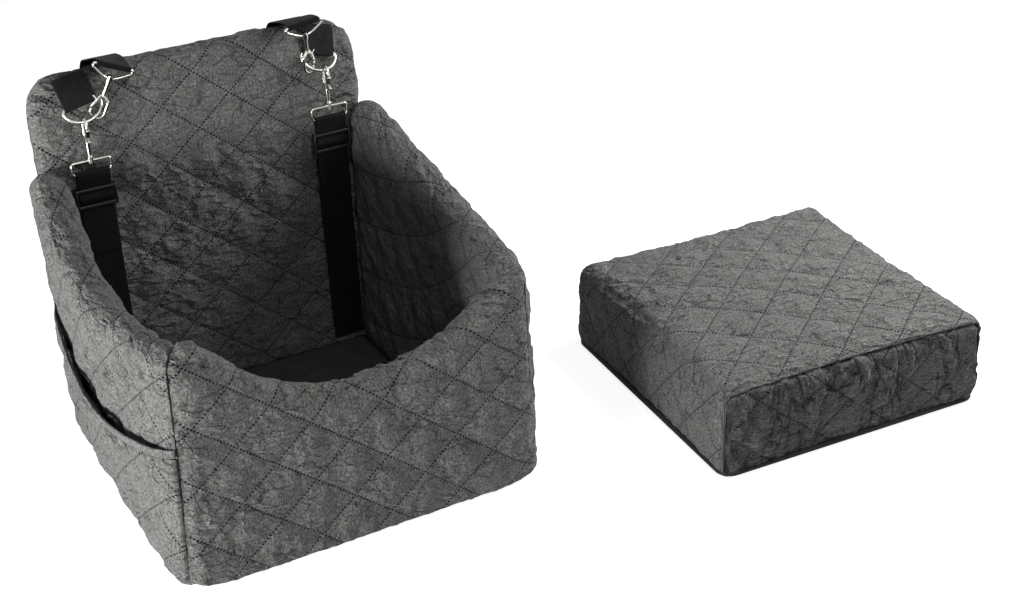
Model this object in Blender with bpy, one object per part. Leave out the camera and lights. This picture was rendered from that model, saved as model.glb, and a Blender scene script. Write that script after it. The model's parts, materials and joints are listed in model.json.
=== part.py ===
"""Dog car seat: a quilted bucket with foam walls, tethers with swivel snap hooks, and a booster cushion.

Metres, +Z up. The origin is the centre of the seat's underside, +X is the seat's right,
-Y is the low front wall and +Y is the tall back.
"""
import math

import bmesh
import bpy
from mathutils import Matrix, Vector

# Clearances
GAP = 0.0003
RUNNING = 0.0004
OVERRUN = 0.012

# Seat shell
SEAT_WIDTH = 0.490
SEAT_DEPTH = 0.505
WALL_THICKNESS = 0.046
CORNER_HEIGHT = 0.330
REAR_RIM_HEIGHT = 0.372
SIDE_RIM_SAG = 0.0365
SIDE_RIM_BOW = 0.022
REAR_RIM_FLARE = 0.009
CORNER_LEAN = 0.009
FRONT_DIP_HEIGHT = 0.213
CORNER_ROUND = 0.020
DIP_SHARPNESS = 2.3

# Back panel, set in a little from the seat's sides
BACK_SIDE_INSET = 0.012
BACK_WIDTH = SEAT_WIDTH - 2 * BACK_SIDE_INSET
BACK_HEIGHT = 0.495
BACK_CROWN = 0.008
BACK_THICKNESS = 0.048
BACK_CORNER_ROUND = 0.040
BACK_EDGE_ROUND = 0.019
BACK_RECLINE = math.radians(4.2)

# Cloth, foam and board
COVER_THICKNESS = 0.003
UNDERSIDE_THICKNESS = 0.003
BOARD_THICKNESS = 0.004
LINING_THICKNESS = 0.008
REAR_PANEL_THICKNESS = 0.0025
REAR_PANEL_MARGIN = 0.012
GUSSET_THICKNESS = 0.003
GUSSET_WIDTH = 0.016
GUSSET_RISE = 0.010

# Diamond quilting: two grid cells span one diamond each way
QUILT_WIDTH = 0.097
QUILT_HEIGHT = 0.081
QUILT_PUFF = 0.005
QUILT_CELLS = 2
QUILT_FADE = 0.024
RIM_STEPS = 6
RIM_PUFF_SHARE = 0.6
STRETCHED_ROWS = 2
CORNER_SHARES = (0.0, 0.3, 0.65)
FIRST_STATION_SHARE = 1.2
FOAM_STATIONS = 7
FOAM_ROWS = 3

# Side pockets
POCKET_THICKNESS = 0.003
POCKET_END_HEIGHT = 0.203
POCKET_SAG = 0.050
POCKET_BULGE = 0.017
POCKET_END_MARGIN = 0.006
POCKET_EDGE_GAP = 0.0006
POCKET_ROWS = 6
HEM_HEIGHT = 0.012
HEM_THICKNESS = 0.005

# Webbing
STRAP_WIDTH = 0.047
STRAP_THICKNESS = 0.0016
STRAP_END_GAP = 0.0005
STRAP_PLY_GAP = 0.0003
FOLD_STEPS = 8
STRAP_LANES = 4

# Ring tabs and half-round rings
TAB_LENGTH = 0.040
TAB_TURN = math.radians(12.0)
TAB_STEPS = 9
TAB_OPEN_STEPS = 2
RING_SIDE_MARGIN = 0.064
RING_TOP_MARGIN = 0.038
RING_BAR_X = BACK_WIDTH / 2 - RING_SIDE_MARGIN
RING_BAR_HEIGHT = BACK_HEIGHT - RING_TOP_MARGIN
RING_RADIUS = 0.0260
RING_DROP = 0.022
RING_CORNER = 0.003
RING_STEPS = 14
RING_CUT_SHARE = 0.3
RING_WIRE = 0.0022
RING_TILT = math.radians(32.0)

# Tether straps on the inside of the back
TETHER_TAIL = 0.118
TETHER_FOOT_OFFSET = 0.011

# Top straps over the back
TOP_SEAT_ANGLE = {"left": math.radians(50.0), "right": math.radians(50.0)}
TOP_LEAN = {"left": math.radians(24.0), "right": math.radians(7.0)}
TOP_REACH = math.radians(14.0)
TOP_HOOK_TURN = 0.5
TOP_TAIL = 0.007
TOP_REAR_LENGTH = 0.050

# Snap hook: swivel stud, shank, bow and sprung gate
EYE_WIRE = 0.0020
EYE_DEPTH = 0.0165
EYE_CORNER = 0.004
EYE_SIDE_PLAY = 0.001
VEE_DEPTH = 0.0185
VEE_SHOULDER = 0.005
VEE_FOOT = 0.0065
BOSS_RADIUS = 0.0042
BOSS_HALF = 0.0028
STUD_RADIUS = 0.0019
HEAD_RADIUS = 0.0032
HEAD_LENGTH = 0.0014
COLLAR_RADIUS = 0.0036
COLLAR_LENGTH = 0.0026
SHANK_RADIUS = 0.0026
SHANK_END = 0.0240
SHANK_BENDS = 5
HOOK_WIRE = 0.0022
BOW_RADIUS = 0.0092
BOW_STEPS = 10
BOW_CENTRE = 0.0500
SPINE_START = 0.0340
NOSE_END = 0.0470
NOSE_RADIUS = 0.0019
RING_SEAT = {"tether": 0.0532, "top": 0.0500}
RING_SIDE = 0.0020
PIVOT_SIDE = 0.0052
PIVOT_ALONG = 0.0325
LUG_RADIUS = 0.0026
LUG_HALF = 0.0013
GATE_HALF = 0.0023
GATE_TIP_RADIUS = 0.0017
GATE_NOSE_GAP = 0.0013
THUMB_LENGTH = 0.0062
THUMB_ANGLE = math.radians(32.0)
THUMB_RADIUS = 0.0011
THUMB_HALF = 0.0018
PIN_RADIUS = 0.0008
PIN_HEAD_RADIUS = 0.0014
PIN_HEAD_LENGTH = 0.0006
GATE_TURN_CLEARANCE = 0.0005

# Sliders on the tether straps
SLIDER_LENGTH = 0.026
SLIDER_RAIL = 0.0035
SLIDER_BAR = 0.0022
SLIDER_DROP = 0.036

# Booster cushion
CUSHION_WIDTH = 0.420
CUSHION_DEPTH = 0.412
CUSHION_HEIGHT = 0.146
CUSHION_CROWN = 0.012
CUSHION_WAIST = 0.006
CUSHION_ROUND = 0.022
CUSHION_BASE_THICKNESS = 0.006
CUSHION_BASE_MARGIN = 0.004
CUSHION_X = 0.664
CUSHION_Y = -0.190
CUSHION_TURN = math.radians(-2.9)

# Worked out from the sizes above
SHELL_BOTTOM = UNDERSIDE_THICKNESS + GAP
FLOOR_TOP = SHELL_BOTTOM + BOARD_THICKNESS + GAP + LINING_THICKNESS
RIM_RADIUS = WALL_THICKNESS / 2
BACK_FRONT_Y = SEAT_DEPTH / 2 - BACK_THICKNESS / math.cos(BACK_RECLINE)
BAR_WRAP = EYE_WIRE + GAP + STRAP_THICKNESS / 2
RING_BAR_OFFSET = QUILT_PUFF + GAP + STRAP_THICKNESS + GAP + RING_WIRE

MATERIALS = {
    "grey_velvet": ((0.105, 0.105, 0.102), 0.85, 0.0),
    "black_fabric": ((0.012, 0.012, 0.012), 0.80, 0.0),
    "black_webbing": ((0.010, 0.010, 0.011), 0.70, 0.0),
    "foam": ((0.60, 0.58, 0.50), 0.90, 0.0),
    "board": ((0.05, 0.05, 0.05), 0.60, 0.0),
    "nickel": ((0.62, 0.60, 0.55), 0.22, 1.0),
    "black_plastic": ((0.012, 0.012, 0.013), 0.35, 0.0),
}


# Scene helpers

def clear_scene():
    for item in list(bpy.data.objects):
        bpy.data.objects.remove(item)


def material(name):
    """Principled material with the colour, roughness and metallic value of one finish."""
    found = bpy.data.materials.get(name)
    if found:
        return found
    colour, rough, metal = MATERIALS[name]
    made = bpy.data.materials.new(name)
    made.use_nodes = True
    shader = made.node_tree.nodes["Principled BSDF"]
    shader.inputs["Base Color"].default_value = (*colour, 1.0)
    shader.inputs["Roughness"].default_value = rough
    shader.inputs["Metallic"].default_value = metal
    return made


def add_object(name, bm, finish, matrix=None, smooth=True):
    """Turn a bmesh into a named object, with its faces outwards."""
    bmesh.ops.recalc_face_normals(bm, faces=bm.faces)
    mesh = bpy.data.meshes.new(name)
    bm.to_mesh(mesh)
    bm.free()
    mesh.materials.append(material(finish))
    if smooth:
        mesh.shade_smooth()
        mesh.set_sharp_from_angle(angle=math.radians(40.0))
    made = bpy.data.objects.new(name, mesh)
    bpy.context.collection.objects.link(made)
    if matrix is not None:
        made.matrix_world = matrix
    return made


def combine(target, tool_bm, operation):
    """Apply an exact Boolean between an object and a bmesh, then drop the tool."""
    tool = add_object("tool", tool_bm, "foam", target.matrix_world.copy())
    bpy.context.view_layer.update()
    modifier = target.modifiers.new("combine", "BOOLEAN")
    modifier.operation = operation
    modifier.solver = "EXACT"
    modifier.object = tool
    graph = bpy.context.evaluated_depsgraph_get()
    mesh = bpy.data.meshes.new_from_object(target.evaluated_get(graph))
    target.modifiers.clear()
    target.data = mesh
    while len(mesh.materials) > 1:
        mesh.materials.pop(index=len(mesh.materials) - 1)
    bpy.data.objects.remove(tool)


def plane_cut(bm, point, normal):
    """Trim a closed bmesh to the side behind a plane and close the cut."""
    geometry = bm.verts[:] + bm.edges[:] + bm.faces[:]
    cut = bmesh.ops.bisect_plane(bm, geom=geometry, plane_co=point, plane_no=normal,
                                 dist=GAP / 10, clear_outer=True)
    edges = [item for item in cut["geom_cut"] if isinstance(item, bmesh.types.BMEdge)]
    caps = bmesh.ops.holes_fill(bm, edges=edges, sides=0)["faces"]
    bmesh.ops.triangulate(bm, faces=caps)


def box(low, high):
    """Closed box between two corners."""
    bm = bmesh.new()
    bmesh.ops.create_cube(bm, size=1.0)
    size = [b - a for a, b in zip(low, high)]
    centre = [(a + b) / 2 for a, b in zip(low, high)]
    bmesh.ops.scale(bm, vec=size, verts=bm.verts)
    bmesh.ops.translate(bm, vec=centre, verts=bm.verts)
    return bm


def cylinder(radius, low, high, sides=12):
    """Closed cylinder along Z."""
    bm = bmesh.new()
    bmesh.ops.create_cone(bm, cap_ends=True, segments=sides, radius1=radius, radius2=radius, depth=high - low)
    bmesh.ops.translate(bm, vec=(0.0, 0.0, (high + low) / 2), verts=bm.verts)
    return bm


def outline_slab(outline, low, high):
    """Extrude a closed outline of (x, y) points between two heights."""
    bm = bmesh.new()
    face = bm.faces.new([bm.verts.new((x, y, low)) for x, y in outline])
    grown = bmesh.ops.extrude_face_region(bm, geom=[face])
    top = [item for item in grown["geom"] if isinstance(item, bmesh.types.BMVert)]
    bmesh.ops.translate(bm, vec=(0.0, 0.0, high - low), verts=top)
    return bm


def rounded_outline(half_x, half_y, radius, steps=4):
    """Rectangle outline with round corners, counter-clockwise."""
    points = []
    for quarter in range(4):
        turn = quarter * math.pi / 2
        sign_x = 1 if quarter in (0, 3) else -1
        sign_y = 1 if quarter in (0, 1) else -1
        centre = (sign_x * (half_x - radius), sign_y * (half_y - radius))
        for step in range(steps + 1):
            angle = turn + step / steps * math.pi / 2
            points.append((centre[0] + radius * math.cos(angle), centre[1] + radius * math.sin(angle)))
    return points


def capsule_outline(start, start_radius, end, end_radius, steps=5):
    """Outline round two circles joined by straight sides."""
    along = Vector((end[0] - start[0], end[1] - start[1]))
    heading = math.atan2(along.y, along.x)
    points = []
    halves = ((end, end_radius, heading - math.pi / 2), (start, start_radius, heading + math.pi / 2))
    for centre, radius, first in halves:
        for step in range(steps + 1):
            angle = first + step / steps * math.pi
            points.append((centre[0] + radius * math.cos(angle), centre[1] + radius * math.sin(angle)))
    return points


def tube(points, radii, cyclic=False, resolution=2):
    """Round tube along a polyline, with a radius at each point."""
    data = bpy.data.curves.new("tube", "CURVE")
    data.dimensions = "3D"
    data.bevel_depth = 1.0
    data.bevel_resolution = resolution
    data.use_fill_caps = True
    data.twist_mode = "MINIMUM"
    spline = data.splines.new("POLY")
    spline.points.add(len(points) - 1)
    for target, place, radius in zip(spline.points, points, radii):
        target.co = (*place, 1.0)
        target.radius = radius
    spline.use_cyclic_u = cyclic
    holder = bpy.data.objects.new("tube", data)
    bpy.context.collection.objects.link(holder)
    bpy.context.view_layer.update()
    graph = bpy.context.evaluated_depsgraph_get()
    mesh = bpy.data.meshes.new_from_object(holder.evaluated_get(graph))
    bm = bmesh.new()
    bm.from_mesh(mesh)
    bmesh.ops.remove_doubles(bm, verts=bm.verts, dist=GAP / 30)
    bpy.data.objects.remove(holder)
    return bm


def ribbon(stations, width, thickness):
    """Flat webbing through stations of (centre, across, normal), in a few lanes side by side."""
    bm = bmesh.new()
    rings = []
    lanes = [width * (k / STRAP_LANES - 1 / 2) for k in range(STRAP_LANES + 1)]
    for centre, across, normal in stations:
        under = [bm.verts.new(centre + across * lane - normal * thickness / 2) for lane in lanes]
        over = [bm.verts.new(centre + across * lane + normal * thickness / 2) for lane in reversed(lanes)]
        rings.append(under + over)
    count = len(rings[0])
    for near, far in zip(rings, rings[1:]):
        for k in range(count):
            bm.faces.new((near[k], near[(k + 1) % count], far[(k + 1) % count], far[k]))
    for ring in (rings[0][::-1], rings[-1]):
        for k in range(STRAP_LANES):
            bm.faces.new((ring[k], ring[k + 1], ring[-2 - k], ring[-1 - k]))
    return bm


def split_quad(bm, quad, parity):
    """Two triangles, on the diagonal that follows the stitch lines."""
    first = parity % 2
    bm.faces.new((quad[first], quad[first + 1], quad[first + 2]))
    bm.faces.new((quad[first], quad[first + 2], quad[(first + 3) % 4]))


def fan_cap(bm, loop):
    """Close a loop of vertices with triangles from its middle."""
    middle = bm.verts.new(sum((vertex.co for vertex in loop), Vector()) / len(loop))
    for near, far in zip(loop, loop[1:] + loop[:1]):
        bm.faces.new((near, far, middle))


def ladder_cap(bm, loop):
    """Close a long thin loop with rungs between its two sides."""
    for k in range(len(loop) // 2 - 1):
        quad = (loop[k], loop[k + 1], loop[-2 - k], loop[-1 - k])
        split_quad(bm, quad, k)


def grid_body(sections_of_points, cap=fan_cap):
    """Closed body lofted through sections, each closed along its foot."""
    bm = bmesh.new()
    sections = [[bm.verts.new(point) for point in section] for section in sections_of_points]
    for i, (near, far) in enumerate(zip(sections, sections[1:])):
        for j in range(len(near) - 1):
            split_quad(bm, (near[j], far[j], far[j + 1], near[j + 1]), i + j)
        split_quad(bm, (near[-1], far[-1], far[0], near[0]), i)
    for section in (sections[0], sections[-1][::-1]):
        cap(bm, section)
    return bm


def puff_height(i, j):
    """Height share of the quilting at a grid point: 0 on the stitch lines, 1 at a diamond's middle."""
    step = math.pi / QUILT_CELLS
    return math.sqrt(abs(math.sin((i + j) * step) * math.sin((i - j) * step)))


# Wall shapes

def side_rim_centre(y, sign):
    """Plan place and apex height of a side rim at depth y."""
    front = -SEAT_DEPTH / 2
    share = (y - front) / (BACK_FRONT_Y - front)
    share = min(max(share, 0.0), 1.0)
    swell = math.sin(math.pi * share)
    front_x = SEAT_WIDTH / 2 - CORNER_LEAN
    rear_x = SEAT_WIDTH / 2 + REAR_RIM_FLARE
    outer = front_x + (rear_x - front_x) * share + SIDE_RIM_BOW * swell
    height = CORNER_HEIGHT + (REAR_RIM_HEIGHT - CORNER_HEIGHT) * share - SIDE_RIM_SAG * swell
    return sign * outer, height


def front_rim_height(x):
    """Apex height of the front rim, which dips between the corners."""
    half = SEAT_WIDTH / 2 - CORNER_LEAN - RIM_RADIUS
    share = min(abs(x) / half, 1.0)
    return FRONT_DIP_HEIGHT + (CORNER_HEIGHT - FRONT_DIP_HEIGHT) * share ** DIP_SHARPNESS


def corner_inset(distance, radius):
    """How far a round corner draws a face in, at a distance from the corner's edge."""
    if distance >= radius:
        return 0.0
    reach = max(radius - max(distance, 0.0), 0.0)
    return radius - math.sqrt(max(radius * radius - reach * reach, 0.0))


def face_heights(floor, lowest_shoulder, shoulder, spacing, rows):
    """Row heights up one face: evenly spaced at first, then stretched to the local shoulder."""
    if rows:
        return [floor + (shoulder - floor) * k / rows for k in range(rows + 1)]
    even = max(int((lowest_shoulder - floor) / spacing) - 1, 1)
    heights = [floor + spacing * k for k in range(even + 1)]
    last = heights[-1]
    heights += [last + (shoulder - last) * k / STRETCHED_ROWS for k in range(1, STRETCHED_ROWS + 1)]
    return heights


def row_room(heights, j, spacing):
    """Share of the full quilting depth that fits in the rows beside row j."""
    above = min(j + 1, len(heights) - 1)
    below = max(j - 1, 0)
    return min((heights[above] - heights[below]) / ((above - below) * spacing), 1.0)


def wall_section(foot, lean, apex, outward, inset, corner, lowest, floor, station, puffs):
    """One closed section of a wall: up the outer face, over the round rim and down the inner face.

    puffs holds the share of the quilting depth on the outer and inner faces, or nothing for foam.
    """
    radius = RIM_RADIUS - inset
    shoulder = apex - RIM_RADIUS
    spacing = QUILT_HEIGHT / QUILT_CELLS
    heights = face_heights(floor, lowest, shoulder, spacing, 0 if puffs else FOAM_ROWS)
    count = 2 * len(heights) + RIM_STEPS - 1
    outer_puff, inner_puff = puffs or (0.0, 0.0)
    points = []

    def place(depth, height, drawn):
        share = height / shoulder
        return foot + lean * share - outward * (depth + drawn) + Vector((0.0, 0.0, height))

    def swell(j, direction, share):
        if station is None or j in (0, count - 1):
            return Vector()
        return direction * (QUILT_PUFF * share * puff_height(station, j))

    for j, height in enumerate(heights):
        room = row_room(heights, j, spacing)
        points.append(place(inset, height, corner) + swell(j, outward, room * outer_puff))
    centre = place(RIM_RADIUS, shoulder, 0.0)
    for k in range(1, RIM_STEPS):
        angle = math.pi * k / RIM_STEPS
        radial = outward * math.cos(angle) + Vector((0.0, 0.0, math.sin(angle)))
        drawn = outward * (corner * max(math.cos(angle), 0.0))
        rim = swell(len(heights) + k - 1, radial, RIM_PUFF_SHARE * min(outer_puff, inner_puff))
        points.append(centre + radial * radius - drawn + rim)
    for k, height in enumerate(reversed(heights)):
        j = len(heights) + RIM_STEPS - 1 + k
        room = row_room(heights, len(heights) - 1 - k, spacing)
        points.append(place(WALL_THICKNESS - inset, height, 0.0) + swell(j, -outward, room * inner_puff))
    return points


def fade_in(distance):
    """Share that grows from nothing to full over a short way past an end."""
    return min(max(distance / QUILT_FADE, 0.0), 1.0)


def stations_along(length, radius, inner_end):
    """Places along a wall: extra ones round the corner, then one each quarter diamond."""
    extra = [radius * share for share in CORNER_SHARES]
    first = radius * FIRST_STATION_SHARE
    end = length - first if inner_end else length
    cells = max(round((end - first) / (QUILT_WIDTH / QUILT_CELLS)), 2)
    regular = [first + (end - first) * k / cells for k in range(cells + 1)]
    places = [(t, None) for t in extra] + [(t, k) for k, t in enumerate(regular)]
    if inner_end:
        places += [(length - t, None) for t in reversed(extra)]
    return places


def side_wall(sign, inset, end_inset, floor, quilted):
    """One side wall, mitred at the front corner and trimmed to the back panel."""
    front = -SEAT_DEPTH / 2
    length = BACK_FRONT_Y + OVERRUN * 3 - front
    outward = Vector((sign, 0.0, 0.0))
    lowest = min(side_rim_centre(front + length * k / 20, sign)[1] for k in range(21)) - RIM_RADIUS
    sections = []
    for distance, station in stations_along(length, CORNER_ROUND, False):
        y = front + distance
        outer_x, apex = side_rim_centre(y, sign)
        foot = Vector((sign * SEAT_WIDTH / 2, y, 0.0))
        lean = Vector((outer_x - sign * SEAT_WIDTH / 2, 0.0, 0.0))
        corner = corner_inset(distance - inset, CORNER_ROUND - inset)
        rear = fade_in(BACK_FRONT_Y - QUILT_PUFF - y)
        puffs = (rear, min(rear, fade_in(distance - WALL_THICKNESS))) if quilted else None
        shape = (foot, lean, apex, outward, inset, corner, lowest, floor, station, puffs)
        sections.append(wall_section(*shape))
    bm = grid_body(sections)
    corner_point = Vector((sign * SEAT_WIDTH / 2, front, 0.0))
    mitre = Vector((-sign, -1.0, 0.0)).normalized()
    plane_cut(bm, corner_point - mitre * (GAP / 2 + end_inset), mitre)
    back_normal = Vector((0.0, math.cos(BACK_RECLINE), -math.sin(BACK_RECLINE)))
    back_foot = Vector((0.0, BACK_FRONT_Y, 0.0))
    plane_cut(bm, back_foot - back_normal * (QUILT_PUFF + GAP + end_inset), back_normal)
    return bm


def front_wall(inset, end_inset, floor, quilted):
    """The front wall, mitred at both corners."""
    front = -SEAT_DEPTH / 2
    outward = Vector((0.0, -1.0, 0.0))
    lean = Vector((0.0, CORNER_LEAN, 0.0))
    lowest = FRONT_DIP_HEIGHT - RIM_RADIUS
    sections = []
    for distance, station in stations_along(SEAT_WIDTH, CORNER_ROUND, True):
        x = -SEAT_WIDTH / 2 + distance
        foot = Vector((x, front, 0.0))
        from_end = min(distance, SEAT_WIDTH - distance)
        corner = corner_inset(from_end - inset, CORNER_ROUND - inset)
        apex = front_rim_height(x)
        puffs = (1.0, fade_in(from_end - WALL_THICKNESS)) if quilted else None
        shape = (foot, lean, apex, outward, inset, corner, lowest, floor, station, puffs)
        sections.append(wall_section(*shape))
    bm = grid_body(sections)
    for sign in (-1, 1):
        normal = Vector((sign, 1.0, 0.0)).normalized()
        corner_point = Vector((sign * SEAT_WIDTH / 2, front, 0.0))
        plane_cut(bm, corner_point - normal * (GAP / 2 + end_inset), normal)
    return bm


def build_wall(name, maker):
    """Foam slab and its quilted cover, which is a sleeve open at the foot."""
    below = SHELL_BOTTOM - OVERRUN
    cover = add_object(f"{name}_cover", maker(0.0, 0.0, SHELL_BOTTOM, True), "grey_velvet")
    combine(cover, maker(COVER_THICKNESS, COVER_THICKNESS, below, False), "DIFFERENCE")
    inner = COVER_THICKNESS + GAP
    foam = maker(inner, inner, below, False)
    plane_cut(foam, Vector((0.0, 0.0, SHELL_BOTTOM)), Vector((0.0, 0.0, -1.0)))
    add_object(f"{name}_foam", foam, "foam")


# Back panel, in a frame that leans back with it: X across, Y into the panel, Z up its front face

BACK_FRAME = Matrix.Translation((0.0, BACK_FRONT_Y, 0.0)) @ Matrix.Rotation(-BACK_RECLINE, 4, "X")
PANEL_FRAME = BACK_FRAME @ Matrix.Rotation(math.pi / 2, 4, "X")


def back_apex(x, inset=0.0):
    """Height of the back's top edge at x, with a slight crown and round corners."""
    half = BACK_WIDTH / 2
    from_end = half - inset - abs(x)
    crown = BACK_CROWN * (x / half) ** 2
    return BACK_HEIGHT - inset - crown - corner_inset(from_end, BACK_CORNER_ROUND - inset)


def level_height(level, depth):
    """Height up the leaning panel at which a point of that depth is at a level above the ground."""
    return (level + depth * math.sin(BACK_RECLINE)) / math.cos(BACK_RECLINE)


def back_section(x, inset, floor, station, quilted):
    """One closed section of the back: up the front, over the top edge and down the rear."""
    from_end = BACK_WIDTH / 2 - inset - abs(x)
    drawn = corner_inset(from_end, BACK_EDGE_ROUND - inset)
    radius = BACK_THICKNESS / 2 - inset - drawn
    shoulder = back_apex(x, inset) - radius
    lowest = BACK_HEIGHT - BACK_CROWN - BACK_CORNER_ROUND - BACK_THICKNESS / 2
    front_rows = 0 if quilted else FOAM_ROWS
    spacing = QUILT_HEIGHT / QUILT_CELLS
    heights = face_heights(floor, lowest, shoulder, spacing, front_rows)
    rear = face_heights(floor, lowest, shoulder, spacing, FOAM_ROWS)
    middle = BACK_THICKNESS / 2
    fade = fade_in(from_end - BACK_EDGE_ROUND)
    heights[0] = level_height(floor, middle - radius)
    rear[0] = level_height(floor, middle + radius)

    def swell(j, share):
        if not quilted or station is None or j == 0:
            return 0.0
        return QUILT_PUFF * share * fade * puff_height(station, j)

    points = [Vector((x, middle - radius - swell(j, row_room(heights, j, spacing)), height))
              for j, height in enumerate(heights)]
    for k in range(1, RIM_STEPS):
        angle = math.pi * k / RIM_STEPS
        front_share = RIM_PUFF_SHARE if k < RIM_STEPS / 2 else 0.0
        reach = radius + swell(len(heights) + k - 1, front_share)
        points.append(Vector((x, middle - reach * math.cos(angle), shoulder + reach * math.sin(angle))))
    points += [Vector((x, middle + radius, height)) for height in reversed(rear)]
    return points


def back_slab(inset, floor, quilted):
    """The back panel's slab shape in its own frame."""
    width = BACK_WIDTH - 2 * inset
    sections = [back_section(distance - width / 2, inset, floor, station, quilted)
                for distance, station in stations_along(width, BACK_EDGE_ROUND - inset, True)]
    bm = grid_body(sections)
    bmesh.ops.transform(bm, matrix=BACK_FRAME, verts=bm.verts)
    return bm


def build_back():
    """Foam, quilted cover and black rear cloth of the back panel; the cloth ends below the top straps."""
    cover = add_object("back_cover", back_slab(0.0, SHELL_BOTTOM, True), "grey_velvet")
    combine(cover, back_slab(COVER_THICKNESS, SHELL_BOTTOM - OVERRUN, False), "DIFFERENCE")
    add_object("back_foam", back_slab(COVER_THICKNESS + GAP, SHELL_BOTTOM, False), "foam")
    half = BACK_WIDTH / 2 - BACK_EDGE_ROUND - REAR_PANEL_MARGIN
    top = BACK_HEIGHT - BACK_CROWN - BACK_THICKNESS / 2 - TOP_REAR_LENGTH - REAR_PANEL_MARGIN
    centre = (top + SHELL_BOTTOM) / 2
    half_height = (top - SHELL_BOTTOM) / 2
    outline = [(x, z + centre) for x, z in rounded_outline(half, half_height, REAR_PANEL_MARGIN)]
    cloth = outline_slab(outline, -BACK_THICKNESS - GAP - REAR_PANEL_THICKNESS, -BACK_THICKNESS - GAP)
    add_object("rear_panel", cloth, "black_fabric", PANEL_FRAME, smooth=False)


def build_gusset(side, sign):
    """Black strip that closes the rear end of a side wall beside the back panel."""
    inner = BACK_WIDTH / 2 + GAP
    foot_x = SEAT_WIDTH / 2 - GAP
    top_x = min(foot_x + REAR_RIM_FLARE, inner + GUSSET_WIDTH)
    top = REAR_RIM_HEIGHT + GUSSET_RISE
    corners = ((inner, SHELL_BOTTOM), (foot_x, SHELL_BOTTOM), (top_x, top), (inner, top))
    strip = outline_slab([(sign * x, z) for x, z in corners], QUILT_PUFF - GUSSET_THICKNESS, QUILT_PUFF)
    add_object(f"{side}_gusset", strip, "black_fabric", PANEL_FRAME, smooth=False)


# Underside and floor

def build_base():
    """Black underside cloth, stiff board and soft black floor lining."""
    sole = rounded_outline(SEAT_WIDTH / 2, SEAT_DEPTH / 2, CORNER_ROUND)
    add_object("underside", outline_slab(sole, 0.0, UNDERSIDE_THICKNESS), "black_fabric", smooth=False)
    play = QUILT_PUFF + CORNER_LEAN / 6
    half_x = SEAT_WIDTH / 2 - WALL_THICKNESS - play
    front = -SEAT_DEPTH / 2 + WALL_THICKNESS + play
    rear = BACK_FRONT_Y - play
    centre = (front + rear) / 2
    half_y = (rear - front) / 2
    outline = [(x, y + centre) for x, y in rounded_outline(half_x, half_y, CORNER_ROUND / 2)]
    board_top = SHELL_BOTTOM + BOARD_THICKNESS
    board = outline_slab(outline, SHELL_BOTTOM, board_top)
    add_object("floor_board", board, "board", smooth=False)
    lining = outline_slab(outline, board_top + GAP, FLOOR_TOP)
    add_object("floor_lining", lining, "black_fabric", smooth=False)


# Pockets

def pocket_spots():
    """Depths at which a pocket is shaped: the wall's own stations, so the two stay parallel."""
    front = -SEAT_DEPTH / 2
    length = BACK_FRONT_Y + OVERRUN * 3 - front
    first = CORNER_ROUND / 2
    last = BACK_FRONT_Y - POCKET_END_MARGIN
    depths = [front + distance for distance, station in stations_along(length, CORNER_ROUND, False)]
    return [y for y in depths if front + first < y < last]


def pocket_place(y, height, offset, sign):
    """Point at an offset from the stitch level of a side wall's outer face."""
    outer_x, apex = side_rim_centre(y, sign)
    foot_x = sign * SEAT_WIDTH / 2
    share = height / (apex - RIM_RADIUS)
    drawn = corner_inset(y + SEAT_DEPTH / 2, CORNER_ROUND)
    return Vector((foot_x + (outer_x - foot_x) * share + sign * (offset - drawn), y, height))


def build_pocket(side, sign):
    """Quilted pocket and its bound, elastic mouth, which sags and stands off the wall."""
    depths = pocket_spots()
    span = depths[-1] - depths[0]
    cell = QUILT_HEIGHT / QUILT_CELLS
    cloth = []
    hem = []
    for index, y in enumerate(depths):
        share = (y - depths[0]) / span
        swell = math.sin(math.pi * share)
        mouth = POCKET_END_HEIGHT - POCKET_SAG * swell
        top = mouth - HEM_HEIGHT - GAP
        heights = [SHELL_BOTTOM] + [cell + (top - cell) * k / POCKET_ROWS for k in range(POCKET_ROWS + 1)]
        front_edge = index == 0

        def offset(height, puff):
            if height <= SHELL_BOTTOM:
                return POCKET_EDGE_GAP
            lift = POCKET_BULGE * swell * (height / mouth) ** 2
            base = POCKET_EDGE_GAP if front_edge else POCKET_EDGE_GAP + QUILT_PUFF
            return base + lift + puff

        inner = [pocket_place(y, height, offset(height, 0.0), sign) for height in heights]
        outer = []
        for row, height in enumerate(heights):
            puff = 0.0 if front_edge or row == 0 else QUILT_PUFF * RIM_PUFF_SHARE * puff_height(index, row)
            outer.append(pocket_place(y, height, offset(height, puff) + POCKET_THICKNESS, sign))
        cloth.append(inner + outer[::-1])
        low, high = mouth - HEM_HEIGHT, mouth
        loop = ((low, 0.0), (high, 0.0), (high, HEM_THICKNESS), (low, HEM_THICKNESS))
        hem.append([pocket_place(y, height, offset(height, puff), sign) for height, puff in loop])
    add_object(f"{side}_pocket", grid_body(cloth, ladder_cap), "grey_velvet")
    add_object(f"{side}_pocket_hem", grid_body(hem, ladder_cap), "grey_velvet")


# Webbing

def path_stations(path, origin, along, facing, across):
    """Stations for a ribbon from a flat path of (distance along, offset) pairs."""
    stations = []
    for index, (u, o) in enumerate(path):
        before = path[max(index - 1, 0)]
        after = path[min(index + 1, len(path) - 1)]
        step = Vector((after[0] - before[0], after[1] - before[1])).normalized()
        centre = origin + along * u + facing * o
        stations.append((centre, across, along * -step.y + facing * step.x))
    return stations


def fold_arc(centre, radius, first, last):
    """Points of (along, offset) round a bar."""
    points = []
    for step in range(FOLD_STEPS + 1):
        angle = first + (last - first) * step / FOLD_STEPS
        points.append((centre + radius * math.cos(angle), radius * math.sin(angle)))
    return points


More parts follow.
